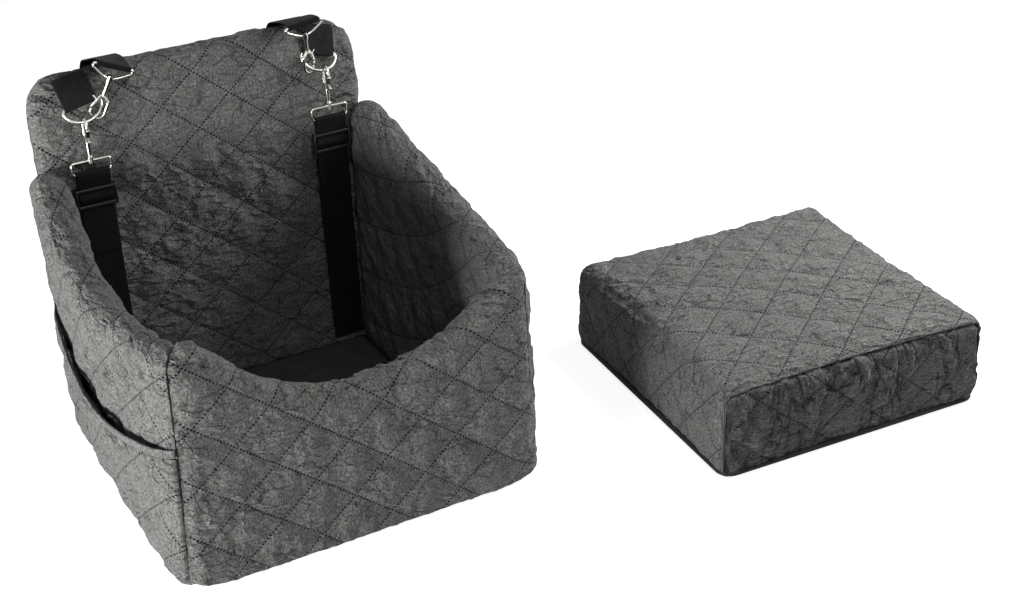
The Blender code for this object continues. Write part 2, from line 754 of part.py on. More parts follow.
def wrap_over_back(point):
    """Bend a point of the flat front plane over the back's round top edge."""
    radius = BACK_THICKNESS / 2
    shoulder = back_apex(point.x) - radius
    beyond = point.z - shoulder
    if beyond <= 0.0:
        return point
    reach = radius - point.y
    angle = beyond / (radius + QUILT_PUFF)
    return Vector((point.x, radius - reach * math.cos(angle), shoulder + reach * math.sin(angle)))


def ring_frame(sign):
    """Frame of a half-round ring's bar: X along the bar, Z up the tab."""
    place = Matrix.Translation((sign * RING_BAR_X, -RING_BAR_OFFSET, RING_BAR_HEIGHT))
    return place @ Matrix.Rotation(sign * TAB_TURN, 4, "Y")


def build_tab(side, sign):
    """Webbing tab folded round the ring's bar and sewn over the back's top edge."""
    wrap = RING_WIRE + GAP + STRAP_THICKNESS / 2
    upper = wrap - STRAP_THICKNESS - STRAP_PLY_GAP
    path = [(TAB_LENGTH * (1.0 - k / TAB_STEPS), -wrap) for k in range(TAB_STEPS)]
    path += fold_arc(0.0, wrap, -math.pi / 2, -math.pi * 3 / 2)
    path += [(TAB_LENGTH * (k + 1) / TAB_STEPS, -upper) for k in range(TAB_OPEN_STEPS, TAB_STEPS)]
    upright, facing, level = Vector((0.0, 0.0, 1.0)), Vector((0.0, -1.0, 0.0)), Vector((1.0, 0.0, 0.0))
    flat = path_stations(path, Vector(), upright, facing, level)
    bm = ribbon(flat, STRAP_WIDTH - 2 * GAP, STRAP_THICKNESS)
    bmesh.ops.transform(bm, matrix=ring_frame(sign), verts=bm.verts)
    for vertex in bm.verts:
        vertex.co = wrap_over_back(vertex.co)
    bmesh.ops.transform(bm, matrix=BACK_FRAME, verts=bm.verts)
    add_object(f"{side}_ring_tab", bm, "black_webbing", smooth=False)


def ring_outline():
    """Centreline of the half-round ring in its own plane, bar at the origin."""
    corner = RING_CORNER
    points = [(-RING_RADIUS + corner, 0.0), (0.0, 0.0), (RING_RADIUS - corner, 0.0)]
    cut = corner * RING_CUT_SHARE
    points.append((RING_RADIUS - cut, -cut))
    for step in range(RING_STEPS + 1):
        angle = math.pi * step / RING_STEPS
        points.append((RING_RADIUS * math.cos(angle), -corner - RING_DROP * math.sin(angle)))
    points.append((-RING_RADIUS + cut, -cut))
    return points


def ring_matrix(sign):
    """Rest place of a ring: tipped off the panel by the hooks that it holds."""
    return ring_frame(sign) @ Matrix.Rotation(-RING_TILT, 4, "X")


def ring_point(sign, angle):
    """Point and tangent of a ring's arc in the back's frame, at an angle from its inner end."""
    local = Vector((-sign * RING_RADIUS * math.cos(angle), 0.0, -RING_CORNER - RING_DROP * math.sin(angle)))
    heading = Vector((sign * RING_RADIUS * math.sin(angle), 0.0, -RING_DROP * math.cos(angle)))
    place = ring_matrix(sign)
    return place @ local, (place.to_3x3() @ heading).normalized()


def build_ring(side, sign):
    points = [Vector((x, 0.0, z)) for x, z in ring_outline()]
    bm = tube(points, [RING_WIRE] * len(points), cyclic=True)
    add_object(f"{side}_ring", bm, "nickel", BACK_FRAME @ ring_matrix(sign))


# Snap hooks: local X is the bow's open side, Y its flat side and Z runs from the eye to the ring

def frame_from(origin, side, flat, along):
    """Matrix from three square axes."""
    matrix = Matrix((side, flat, along)).transposed().to_4x4()
    matrix.translation = origin
    return matrix


def hook_path():
    """Centreline points and radii of the hook, from the riveted stud to the nose."""
    rest = BOSS_HALF + RUNNING
    spots = [(-rest - HEAD_LENGTH, HEAD_RADIUS), (-rest, HEAD_RADIUS), (-rest + GAP / 3, STUD_RADIUS),
             (rest - GAP / 3, STUD_RADIUS), (rest, COLLAR_RADIUS), (rest + COLLAR_LENGTH, COLLAR_RADIUS),
             (rest + COLLAR_LENGTH + SHANK_RADIUS / 2, SHANK_RADIUS), (SHANK_END, SHANK_RADIUS)]
    points = [Vector((0.0, 0.0, along)) for along, radius in spots]
    radii = [radius for along, radius in spots]
    for step in range(1, SHANK_BENDS + 1):
        share = step / SHANK_BENDS
        ease = share * share * (3.0 - 2.0 * share)
        height = SHANK_END + (SPINE_START - SHANK_END) * share
        points.append(Vector((-BOW_RADIUS * ease, 0.0, height)))
        radii.append(HOOK_WIRE)
    for step in range(BOW_STEPS + 1):
        angle = math.pi * (1.0 - step / BOW_STEPS)
        height = BOW_CENTRE + BOW_RADIUS * math.sin(angle)
        points.append(Vector((BOW_RADIUS * math.cos(angle), 0.0, height)))
        radii.append(HOOK_WIRE)
    points.append(Vector((BOW_RADIUS, 0.0, NOSE_END)))
    radii.append(NOSE_RADIUS)
    return points, radii


def cross_slab(outline, half):
    """Slab from an outline in the hook's plane, spread to both sides of it."""
    bm = outline_slab(outline, -half, half)
    bmesh.ops.rotate(bm, cent=(0.0, 0.0, 0.0), matrix=Matrix.Rotation(math.pi / 2, 3, "X"), verts=bm.verts)
    return bm


def cross_pin(radius, half, sides=10):
    """Cylinder across the hook's plane at the gate's pivot."""
    bm = cylinder(radius, -half, half, sides)
    bmesh.ops.rotate(bm, cent=(0.0, 0.0, 0.0), matrix=Matrix.Rotation(math.pi / 2, 3, "X"), verts=bm.verts)
    return bm


def hook_template():
    """Hook body: swivel stud, shank and bow in one round bar, with the gate's lug."""
    points, radii = hook_path()
    body = add_object("hook", tube(points, radii), "nickel")
    lug = capsule_outline((0.0, SHANK_END), LUG_RADIUS, (PIVOT_SIDE, PIVOT_ALONG), LUG_RADIUS)
    combine(body, cross_slab(lug, LUG_HALF), "UNION")
    bore = cross_pin(PIN_RADIUS + GAP, GATE_HALF * 2)
    bmesh.ops.translate(bore, vec=(PIVOT_SIDE, 0.0, PIVOT_ALONG), verts=bore.verts)
    combine(body, bore, "DIFFERENCE")
    return body


def gate_template():
    """Sprung gate with a thumb tab, forked over the lug; its origin is the pivot."""
    tip = (BOW_RADIUS - PIVOT_SIDE, NOSE_END - GATE_NOSE_GAP - GATE_TIP_RADIUS - PIVOT_ALONG)
    arm = capsule_outline((0.0, 0.0), LUG_RADIUS, tip, GATE_TIP_RADIUS)
    gate = add_object("gate", cross_slab(arm, GATE_HALF), "nickel")
    start = (THUMB_RADIUS, 0.0)
    reach = (THUMB_RADIUS + THUMB_LENGTH * math.cos(THUMB_ANGLE), -THUMB_LENGTH * math.sin(THUMB_ANGLE))
    thumb = capsule_outline(start, THUMB_RADIUS, reach, THUMB_RADIUS)
    combine(gate, cross_slab(thumb, THUMB_HALF), "UNION")
    combine(gate, cross_pin(LUG_RADIUS + GATE_TURN_CLEARANCE, LUG_HALF + GAP, sides=16), "DIFFERENCE")
    combine(gate, cross_pin(PIN_RADIUS + GAP, GATE_HALF * 2), "DIFFERENCE")
    return gate


def pin_template():
    """Riveted pin with a head at each end, across the pivot."""
    inner = GATE_HALF + GAP
    outer = inner + PIN_HEAD_LENGTH
    spots = [(-outer, PIN_HEAD_RADIUS), (-inner, PIN_HEAD_RADIUS), (GAP / 3 - inner, PIN_RADIUS),
             (inner - GAP / 3, PIN_RADIUS), (inner, PIN_HEAD_RADIUS), (outer, PIN_HEAD_RADIUS)]
    points = [Vector((0.0, across, 0.0)) for across, radius in spots]
    return add_object("gate_pin", tube(points, [radius for across, radius in spots]), "nickel")


def place_copy(template, name, matrix):
    """Separate copy of a finished piece in a place of its own."""
    made = bpy.data.objects.new(name, template.data.copy())
    bpy.context.collection.objects.link(made)
    made.matrix_world = matrix


def square_eye_outline():
    """Rectangular wire eye: the boss sits on the bar at the origin, the strap on the bar below it."""
    half = STRAP_WIDTH / 2 + EYE_SIDE_PLAY + EYE_WIRE
    depth = EYE_DEPTH / 2
    return [(x, z - depth) for x, z in rounded_outline(half, depth, EYE_CORNER, steps=3)]


def vee_eye_outline():
    """Five-sided wire eye: a strap bar, two short sides and a vee down to the boss."""
    half = STRAP_WIDTH / 2 + EYE_SIDE_PLAY + EYE_WIRE
    cut = EYE_CORNER / 2
    shoulder = -VEE_DEPTH + VEE_SHOULDER
    right = [(VEE_FOOT, 0.0), (half - cut, shoulder + cut), (half, shoulder), (half, -VEE_DEPTH + cut),
             (half - cut, -VEE_DEPTH)]
    return right + [(-x, z) for x, z in reversed(right)]


def build_eye(name, outline, place):
    """Wire eye with a bored boss for the hook's stud."""
    points = [Vector((x, 0.0, z)) for x, z in outline]
    eye = add_object(f"{name}_eye", tube(points, [EYE_WIRE] * len(points), cyclic=True), "nickel")
    combine(eye, cylinder(BOSS_RADIUS, -BOSS_HALF, BOSS_HALF), "UNION")
    combine(eye, cylinder(STUD_RADIUS + RUNNING, -BOSS_HALF * 2, BOSS_HALF * 2), "DIFFERENCE")
    eye.matrix_world = place


def tether_frame(sign):
    """Hook frame of a tether in the back's frame, with the strap's foot and length to the boss."""
    lowest = min((ring_point(sign, math.pi * k / 90)[0] for k in range(20, 71)), key=lambda p: p.z)
    foot = Vector((lowest.x, -TETHER_FOOT_OFFSET, FLOOR_TOP + STRAP_END_GAP))
    target = lowest + Vector((0.0, -RING_SIDE, 0.0))
    along = (target - foot).normalized()
    flat = along.cross(Vector((0.0, -1.0, 0.0))).normalized()
    side = flat.cross(along)
    boss = target - along * RING_SEAT["tether"]
    return frame_from(boss, side, flat, along), foot


def top_frame(side, sign):
    """Hook frame of a top strap in the back's frame: it leans over the top edge to the ring's inner arc."""
    seat, wire = ring_point(sign, TOP_SEAT_ANGLE[side])
    if wire.y > 0.0:
        wire = -wire
    wire = wire.lerp(Vector((0.0, -1.0, 0.0)), TOP_HOOK_TURN)
    lean, reach = TOP_LEAN[side], TOP_REACH
    level, upward = math.sin(lean) * math.cos(reach), math.cos(lean) * math.cos(reach)
    along = Vector((sign * level, math.sin(reach), -upward))
    flat = (wire - along * wire.dot(along)).normalized()
    open_side = flat.cross(along)
    if open_side.x * sign < 0.0:
        flat = -flat
        open_side = -open_side
    boss = seat + open_side * RING_SIDE - along * RING_SEAT["top"]
    return frame_from(boss, open_side, flat, along)


def eye_frame(hook):
    """Eye frame on a hook's axis, turned so that its strap bar lies across the panel."""
    along = hook.to_3x3().col[2].copy()
    across = Vector((0.0, 1.0, 0.0)).cross(along).normalized()
    return frame_from(hook.translation.copy(), across, along.cross(across), along)


def build_snap(name, hook, outline, templates):
    """Eye, hook, gate and pin at the end of one strap."""
    body, gate, pin = templates
    build_eye(name, outline, BACK_FRAME @ eye_frame(hook))
    place_copy(body, f"{name}_hook", BACK_FRAME @ hook)
    at_pivot = BACK_FRAME @ hook @ Matrix.Translation((PIVOT_SIDE, 0.0, PIVOT_ALONG))
    place_copy(gate, f"{name}_gate", at_pivot)
    place_copy(pin, f"{name}_gate_pin", at_pivot)


def build_tether(side, sign, templates):
    """Tether strap up the inside of the back, folded through the hook's eye and doubled under its slider."""
    hook, foot = tether_frame(sign)
    eye = eye_frame(hook)
    across, facing, along = (eye.to_3x3().col[k].copy() for k in range(3))
    if facing.y > 0.0:
        facing = -facing
    bar = (hook.translation - foot).length - EYE_DEPTH
    base = -BAR_WRAP
    doubled = base + STRAP_THICKNESS + STRAP_PLY_GAP
    path = [(0.0, base), (bar / 2, base)]
    path += fold_arc(bar, BAR_WRAP, -math.pi / 2, math.pi / 2)
    settle = bar - SLIDER_DROP + SLIDER_LENGTH / 2
    path.append(((bar + settle) / 2, (BAR_WRAP + doubled) / 2))
    path += [(settle, doubled), (bar - TETHER_TAIL, doubled)]
    bm = ribbon(path_stations(path, foot, along, facing, across), STRAP_WIDTH, STRAP_THICKNESS)
    bmesh.ops.transform(bm, matrix=BACK_FRAME, verts=bm.verts)
    add_object(f"{side}_tether_strap", bm, "black_webbing", smooth=False)
    build_snap(f"{side}_tether", hook, square_eye_outline(), templates)
    middle = foot + along * (bar - SLIDER_DROP) + facing * ((base + doubled) / 2)
    build_slider(side, BACK_FRAME @ frame_from(middle, across, facing, across.cross(facing)))


def build_slider(side, place):
    """Plastic slider: two rails, end bars behind the webbing and one bar in front of it."""
    plies = STRAP_THICKNESS + STRAP_PLY_GAP / 2
    bar_offset = plies + GAP + SLIDER_BAR
    inner = STRAP_WIDTH / 2 + EYE_SIDE_PLAY
    half = SLIDER_LENGTH / 2
    slider = None
    for sign in (-1, 1):
        low = (min(sign * inner, sign * (inner + SLIDER_RAIL)), -bar_offset - SLIDER_BAR, -half)
        high = (max(sign * inner, sign * (inner + SLIDER_RAIL)), bar_offset + SLIDER_BAR, half)
        if slider is None:
            slider = add_object(f"{side}_slider", box(low, high), "black_plastic")
        else:
            combine(slider, box(low, high), "UNION")
    end = half - SLIDER_BAR
    turned = Matrix.Rotation(math.pi / 2, 3, "Y")
    for depth, height in ((-bar_offset, end), (-bar_offset, -end), (bar_offset, 0.0)):
        bar = cylinder(SLIDER_BAR, -inner - SLIDER_RAIL / 2, inner + SLIDER_RAIL / 2, 10)
        bmesh.ops.rotate(bar, cent=(0.0, 0.0, 0.0), matrix=turned, verts=bar.verts)
        bmesh.ops.translate(bar, vec=(0.0, depth, height), verts=bar.verts)
        combine(slider, bar, "UNION")
    slider.matrix_world = place


def build_top_strap(side, sign, templates):
    """Strap sewn to the rear cloth, laid over the top edge and folded round its hook's vee eye."""
    hook = top_frame(side, sign)
    eye = eye_frame(hook)
    across = eye.to_3x3().col[0].copy()
    if across.x < 0.0:
        across = -across
    along = eye.to_3x3().col[2].copy()
    bar = eye.translation - along * VEE_DEPTH
    lifted = Vector((-across.z, 0.0, across.x))
    into = Vector((0.0, 1.0, 0.0))
    radius = BACK_THICKNESS / 2
    rear = radius + GAP + STRAP_THICKNESS / 2
    over = rear + QUILT_PUFF * RIM_PUFF_SHARE
    shoulder = back_apex(bar.x) - radius
    upright = Vector((0.0, 0.0, 1.0))
    level = Vector((1.0, 0.0, 0.0))
    stations = []

    def wrapped(centre, angle, ply_radius):
        """Station round the bar at an angle from straight back, turning over the front."""
        outward = into * math.cos(angle) + lifted * math.sin(angle)
        stations.append((centre + outward * ply_radius, across, outward))

    stations.append((bar + into * TOP_TAIL - lifted * BAR_WRAP, across, -lifted))
    for step in range(FOLD_STEPS + 1):
        wrapped(bar, -math.pi / 2 - math.pi * step / FOLD_STEPS, BAR_WRAP)
    crest = Vector((bar.x, radius, shoulder + over))
    stations.append(((bar + lifted * BAR_WRAP) * 0.5 + crest * 0.5, (across + level).normalized(),
                     (lifted + upright).normalized()))
    for step in range(FOLD_STEPS + 1):
        angle = math.pi / 2 * (1.0 - step / FOLD_STEPS)
        outward = into * math.cos(angle) + upright * math.sin(angle)
        stations.append((Vector((bar.x, radius, shoulder)) + outward * over, level, outward))
    stations.append((Vector((bar.x, radius + rear, shoulder - TOP_REAR_LENGTH)), level, into))
    bm = ribbon(stations, STRAP_WIDTH, STRAP_THICKNESS)
    bmesh.ops.transform(bm, matrix=BACK_FRAME, verts=bm.verts)
    add_object(f"{side}_top_strap", bm, "black_webbing", smooth=False)
    build_snap(f"{side}_top", hook, vee_eye_outline(), templates)


# Booster cushion

def cushion_point(fx, fy, fz, inset, base, puff):
    """Surface point of the cushion for shares of its width, depth and height."""
    half_x = CUSHION_WIDTH / 2 - inset
    half_y = CUSHION_DEPTH / 2 - inset
    top = CUSHION_HEIGHT - CUSHION_CROWN - inset
    radius = CUSHION_ROUND - inset
    point = Vector((fx * half_x, fy * half_y, base + fz * (top - base)))
    core = Vector((min(max(point.x, radius - half_x), half_x - radius),
                   min(max(point.y, radius - half_y), half_y - radius), min(point.z, top - radius)))
    away = point - core
    if away.length > 0.0:
        point = core + away.normalized() * (radius + puff)
    across = 1.0 - fx * fx
    deep = 1.0 - fy * fy
    lift = CUSHION_CROWN * across * deep * fz ** 3
    waist = CUSHION_WAIST * (math.sin(math.pi * max(fz, 0.0)) - 1.0)
    return Vector((point.x + fx * waist * deep, point.y + fy * waist * across, point.z + lift))


def cushion_body(inset, base, counts, quilted):
    """Closed block on a surface grid of counts cells each way, split along the stitch lines."""
    nx, ny, nz = counts
    bm = bmesh.new()
    made = {}

    def vertex(i, j, k):
        if (i, j, k) not in made:
            puff = 0.0
            if quilted and k > 0:
                u = i if 0 < i < nx or k == nz else (i + nz - k if i else k - nz)
                v = j if 0 < j < ny or k == nz else (j + nz - k if j else k - nz)
                puff = QUILT_PUFF * puff_height(u, v)
            shares = (2.0 * i / nx - 1.0, 2.0 * j / ny - 1.0, k / nz)
            made[(i, j, k)] = bm.verts.new(cushion_point(*shares, inset, base, puff))
        return made[(i, j, k)]

    cell = ((0, 0), (1, 0), (1, 1), (0, 1))
    for i in range(nx):
        for j in range(ny):
            split_quad(bm, [vertex(i + a, j + b, nz) for a, b in cell], i + j)
    for k in range(nz):
        for i in range(nx):
            for j in (0, ny):
                split_quad(bm, [vertex(i + a, j, k + b) for a, b in cell], i + j + nz - k + 1)
        for j in range(ny):
            for i in (0, nx):
                split_quad(bm, [vertex(i, j + a, k + b) for a, b in cell], i + j + nz - k + 1)
    rim = [vertex(i, 0, 0) for i in range(nx)] + [vertex(nx, j, 0) for j in range(ny)]
    rim += [vertex(i, ny, 0) for i in range(nx, 0, -1)] + [vertex(0, j, 0) for j in range(ny, 0, -1)]
    fan_cap(bm, rim)
    return bm


def build_cushion():
    """Booster cushion: foam block, quilted cover open at the foot, and black base cloth."""
    place = Matrix.Translation((CUSHION_X, CUSHION_Y, 0.0)) @ Matrix.Rotation(CUSHION_TURN, 4, "Z")
    base = CUSHION_BASE_THICKNESS + GAP
    pitches = ((CUSHION_WIDTH, QUILT_WIDTH), (CUSHION_DEPTH, QUILT_HEIGHT), (CUSHION_HEIGHT, QUILT_HEIGHT))
    counts = [round(length * QUILT_CELLS / pitch) for length, pitch in pitches]
    coarse = (FOAM_STATIONS, FOAM_STATIONS, FOAM_ROWS)
    cover = add_object("cushion_cover", cushion_body(0.0, base, counts, True), "grey_velvet", place)
    combine(cover, cushion_body(COVER_THICKNESS, base - OVERRUN, coarse, False), "DIFFERENCE")
    foam = cushion_body(COVER_THICKNESS + GAP, base - OVERRUN, coarse, False)
    plane_cut(foam, Vector((0.0, 0.0, base)), Vector((0.0, 0.0, -1.0)))
    add_object("cushion_foam", foam, "foam", place)
    half_x = CUSHION_WIDTH / 2 - CUSHION_BASE_MARGIN
    half_y = CUSHION_DEPTH / 2 - CUSHION_BASE_MARGIN
    sole = outline_slab(rounded_outline(half_x, half_y, CUSHION_ROUND), 0.0, CUSHION_BASE_THICKNESS)
    add_object("cushion_base", sole, "black_fabric", place, smooth=False)


def build_all():
    clear_scene()
    build_base()
    build_wall("front", front_wall)
    build_back()
    templates = (hook_template(), gate_template(), pin_template())
    for side, sign in (("left", -1), ("right", 1)):
        build_wall(side, lambda *sizes, sign=sign: side_wall(sign, *sizes))
        build_gusset(side, sign)
        build_pocket(side, sign)
        build_tab(side, sign)
        build_ring(side, sign)
        build_tether(side, sign, templates)
        build_top_strap(side, sign, templates)
    for template in templates:
        bpy.data.objects.remove(template)
    build_cushion()


build_all()
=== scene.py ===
# %% [markdown]
# # A quilted dog car seat and its booster cushion
#
# The object is a bucket for a small dog: four walls of upholstery foam, each in a quilted velvet sleeve,
# a tall back that leans against a car's seat, webbing tethers with swivel snap hooks, and a loose cushion.
# The measured model comes in first as a fixed frame. Everything after that is looks, so each new piece is
# laid exactly over the solid that it stands for.

# %% Load the measured frame
import json
import math

import bmesh
import bpy
import numpy as np
from mathutils import Matrix, Quaternion, Vector


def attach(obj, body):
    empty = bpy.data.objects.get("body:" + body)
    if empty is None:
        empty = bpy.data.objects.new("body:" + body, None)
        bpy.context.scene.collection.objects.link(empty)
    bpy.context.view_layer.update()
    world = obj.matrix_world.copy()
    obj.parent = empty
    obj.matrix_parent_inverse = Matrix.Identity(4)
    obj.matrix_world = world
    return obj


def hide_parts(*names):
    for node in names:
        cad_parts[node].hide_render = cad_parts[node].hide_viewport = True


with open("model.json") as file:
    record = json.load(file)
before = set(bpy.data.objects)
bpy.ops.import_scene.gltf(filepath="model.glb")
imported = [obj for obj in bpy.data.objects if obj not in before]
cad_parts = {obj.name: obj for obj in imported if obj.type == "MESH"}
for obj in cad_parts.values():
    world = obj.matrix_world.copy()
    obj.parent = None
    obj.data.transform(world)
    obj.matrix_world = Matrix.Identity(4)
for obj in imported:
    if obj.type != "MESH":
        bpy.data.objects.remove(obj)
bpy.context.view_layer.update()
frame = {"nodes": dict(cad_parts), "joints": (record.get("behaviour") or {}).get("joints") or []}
joints = {joint["name"]: joint for joint in frame["joints"]}

# %% [markdown]
# ## Camera
#
# A photograph's camera can be found from the object's own straight edges. Here the bucket's floor corners,
# rims and back gave one place, one direction and a small roll. The lens keeps the photograph's perspective,
# which a longer lens would flatten.

# %% Place the camera
CAMERA_PLACE = Vector((-0.667, -1.861, 1.316))
CAMERA_TURN, CAMERA_RISE, CAMERA_ROLL = (math.radians(angle) for angle in (-28.489, 29.576, -1.462))
CAMERA_LENS, CAMERA_SENSOR, CAMERA_REACH = 59.77, 36.0, 50.0


def assign(thing, **values):
    """Set several of a thing's attributes at once."""
    for name, value in values.items():
        setattr(thing, name, value)


def add_turned(name, data, place, turn):
    """Add an object for its data, at a place and with a turn."""
    made = bpy.data.objects.new(name, data)
    bpy.context.collection.objects.link(made)
    assign(made, location=place, rotation_mode="QUATERNION", rotation_quaternion=turn)
    return made


back = Vector((math.sin(CAMERA_TURN) * math.cos(CAMERA_RISE),
               -math.cos(CAMERA_TURN) * math.cos(CAMERA_RISE), math.sin(CAMERA_RISE)))
turn = (-back).to_track_quat("-Z", "Y") @ Quaternion((0.0, 0.0, 1.0), CAMERA_ROLL)
camera = add_turned("camera", bpy.data.cameras.new("camera"), CAMERA_PLACE, turn)
assign(camera.data, lens=CAMERA_LENS, sensor_width=CAMERA_SENSOR, clip_end=CAMERA_REACH)
bpy.context.scene.camera = camera
bpy.context.scene.view_settings.view_transform = "Standard"
print("camera", tuple(round(value, 3) for value in camera.location), camera.data.lens)

# %% [markdown]
# ## Arithmetic with shader nodes
#
# A sum in a shader takes one node for each step, and is hard to read when it is written node by node. Here
# an output socket is wrapped in a class whose operators add the nodes, so a formula reads as a formula.

# %% Signals
class Signal:
    """An output socket whose arithmetic adds math nodes to its tree."""

    def __init__(self, tree, socket):
        self.tree, self.socket = tree, socket

    def math(self, operation, other=0.0):
        return add_node(self.tree, "Math", {0: self, 1: other}, operation=operation)

    def __add__(self, other):
        return self.math("ADD", other)

    def __sub__(self, other):
        return self.math("SUBTRACT", other)

    def __rsub__(self, number):
        return self * -1.0 + number

    def __mul__(self, other):
        return self.math("MULTIPLY", other)

    def remap(self, *limits):
        """Clamped change of range, from (low, high) to (new low, new high)."""
        names = ("From Min", "From Max", "To Min", "To Max")
        return add_node(self.tree, "MapRange", {"Value": self, **dict(zip(names, limits))})


def feed(node, inputs):
    """Set or link a node's inputs. A value is a number, a colour or a signal."""
    for slot, value in inputs.items():
        if isinstance(value, Signal):
            value.tree.links.new(value.socket, node.inputs[slot])
        else:
            node.inputs[slot].default_value = value


def add_node(tree, kind, inputs, output=0, **settings):
    """Add a node and return one of its outputs as a signal."""
    made = tree.nodes.new("ShaderNode" + kind)
    assign(made, **settings)
    feed(made, inputs)
    return Signal(tree, made.outputs[output])


def new_material(name):
    """Node material, with its tree and its shader."""
    made = bpy.data.materials.new(name)
    made.use_nodes = True
    return made, made.node_tree, made.node_tree.nodes["Principled BSDF"]


# %% [markdown]
# ## Floor and light
#
# Velvet shows its shape through light that grazes it, so the main lamp is a long strip on the left, no
# higher than the bucket's rim. It leaves the bucket's inside dark, as in the photograph. A second lamp
# over the cushion lights its top. A small one low on the left grazes the front and brings out its creases,
# and a weak one high in front reaches the bucket's floor. The floor is pale and keeps a soft shadow. Floor
# and world are white only where the camera or metal looks at them, so they add no light.

# %% Stage
WHITE = (1.0, 1.0, 1.0, 1.0)
FLOOR_SHADE, FLOOR_GLOW, WORLD_LIGHT = 0.62, 0.84, 0.085
LAMPS = {  # place, aim, width, height, power in watts
    "left_strip": ((-1.55, -0.25, 0.19), (0.0, -0.1, 0.17), 1.2, 0.34, 34.0),
    "top_box": ((1.25, -0.28, 1.05), (0.66, -0.18, 0.1), 0.7, 0.7, 24.0),
    "front_box": ((-0.1, -2.2, 1.95), (0.0, 0.0, 0.2), 0.8, 0.6, 14.0),
    "graze_box": ((-1.7, -0.90, 0.28), (0.0, -0.25, 0.15), 0.35, 0.25, 18.0),
}


def seen_by_lens(tree):
    """1 for camera, glossy and transmission rays, 0 for the rays that carry light to the object."""
    seen, glossy, through = (add_node(tree, "LightPath", {}, f"Is {kind} Ray")
                             for kind in ("Camera", "Glossy", "Transmission"))
    return seen.math("MAXIMUM", glossy).math("MAXIMUM", through)


bpy.ops.mesh.primitive_plane_add(size=14.0, location=(0.3, 0.5, -0.0006))
floor = bpy.context.object
floor.name = "studio_floor"
paper, tree, shader = new_material("studio_floor")
feed(shader, {"Base Color": (FLOOR_SHADE, FLOOR_SHADE, FLOOR_SHADE, 1.0), "Roughness": 0.9,
              "Emission Color": WHITE, "Emission Strength": seen_by_lens(tree) * FLOOR_GLOW})
floor.data.materials.append(paper)

world = bpy.data.worlds.new("studio")
bpy.context.scene.world = world
world.use_nodes = True
sky = world.node_tree
surround = sky.nodes["Background"]
feed(surround, {"Color": WHITE, "Strength": WORLD_LIGHT})
white = add_node(sky, "Background", {"Color": WHITE, "Strength": 1.0})
choice = {0: seen_by_lens(sky), 1: Signal(sky, surround.outputs[0]), 2: white}
feed(sky.nodes["World Output"], {0: add_node(sky, "MixShader", choice)})

for name, (place, aim, wide, high, power) in LAMPS.items():
    lamp = bpy.data.lights.new(name, "AREA")
    assign(lamp, shape="RECTANGLE", size=wide, size_y=high, energy=power)
    add_turned(name, lamp, place, (Vector(place) - Vector(aim)).to_track_quat("Z", "Y"))
print("stage: floor, world and", len(LAMPS), "soft boxes")

# %% [markdown]
# ## Sizes
#
# The pieces below follow the solids, so the same few sizes are written here once: the bucket's plan, the
# rims' heights, the foam's thickness and the pitch of the diamond quilting.

# %% Sizes of the bucket
SIDES = (("left", -1.0), ("right", 1.0))
WIDTH, DEPTH = 0.490, 0.505
WALL = 0.046
RIM = WALL / 2
CORNER_ROUND = 0.020
MOST_INWARD, FOOT_ROUND, REAR_OPENING = 0.0012, 0.007, 0.0045
FRONT_MAP, SIDE_MAP, BACK_MAP = (0.021, 0.012), (0.030, 0.030), (0.012, 0.020)
CORNER_HEIGHT, REAR_HEIGHT, DIP_HEIGHT = 0.330, 0.372, 0.213
CORNER_LEAN, REAR_FLARE = 0.009, 0.009
RIM_SAG, RIM_BOW, DIP_POWER = 0.0365, 0.022, 2.3
DIP_SHIFT = 0.018
BACK_WIDTH, BACK_HEIGHT, BACK_THICK = 0.466, 0.495, 0.048
BACK_CROWN, BACK_CORNER, BACK_EDGE = 0.008, 0.048, 0.019
RECLINE = math.radians(4.2)
BACK_Y = DEPTH / 2 - BACK_THICK / math.cos(RECLINE)
FOOT = 0.0008
TOE_REACH, TOE_LIFT = 0.060, 0.018
FLOOR_TOP = 0.0156
DIAMOND_WIDE, DIAMOND_HIGH = 0.097, 0.081
DOTS_PER_SIDE = 13
PUFF = 0.0026
LINE_SLOPE = math.hypot(1.0 / DIAMOND_WIDE, 1.0 / DIAMOND_HIGH)
PANEL = Matrix.Translation((0.0, BACK_Y, 0.0)) @ Matrix.Rotation(-RECLINE, 4, "X")
print("back panel's front face stands at y =", round(BACK_Y, 4))

# %% [markdown]
# ## Velvet
#
# The cover is short-pile velvet, quilted to wadding with a punched line of dots every 5 mm. On the
# real cloth the dots are the needle's holes, each pulled down by its stitch. They are drawn nearly black, as
# painted shade in the holes. They could be an image, but an image has an owner and a limit of sharpness.
# Here each piece carries its flat cloth coordinates, in metres, as its own map, and arithmetic on them draws
# the dots at their true pitch.
#
# Two families of lines cross in diamonds. Along each line the other family's coordinate counts the dots.
# Between the lines the crushed pile has three scales: shallow bowls that meet in crooked ridges, hair-line
# folds, and the grain of the nap. The ridges carry a painted highlight, and the folds are painted dark as
# painted shade.

# %% Velvet with stitch dots
DOT_RADIUS, DOT_BLUR = 0.00165, 0.0005
FAR_OFF = 64.0  # keeps the counted lines positive


def dots_on_lines(across, along):
    """1 at the dots of one family of lines, 0 elsewhere."""
    pitch = math.hypot(DIAMOND_WIDE, DIAMOND_HIGH) / 2 / DOTS_PER_SIDE
    to_line = across.math("PINGPONG", 0.5) * (1.0 / LINE_SLOPE)
    to_dot = (along * DOTS_PER_SIDE).math("PINGPONG", 0.5) * pitch
    reach = (to_line.math("POWER", 2.0) + to_dot.math("POWER", 2.0)).math("SQRT")
    return add_node(across.tree, "Clamp", {0: (DOT_RADIUS - reach) * (1.0 / DOT_BLUR)})


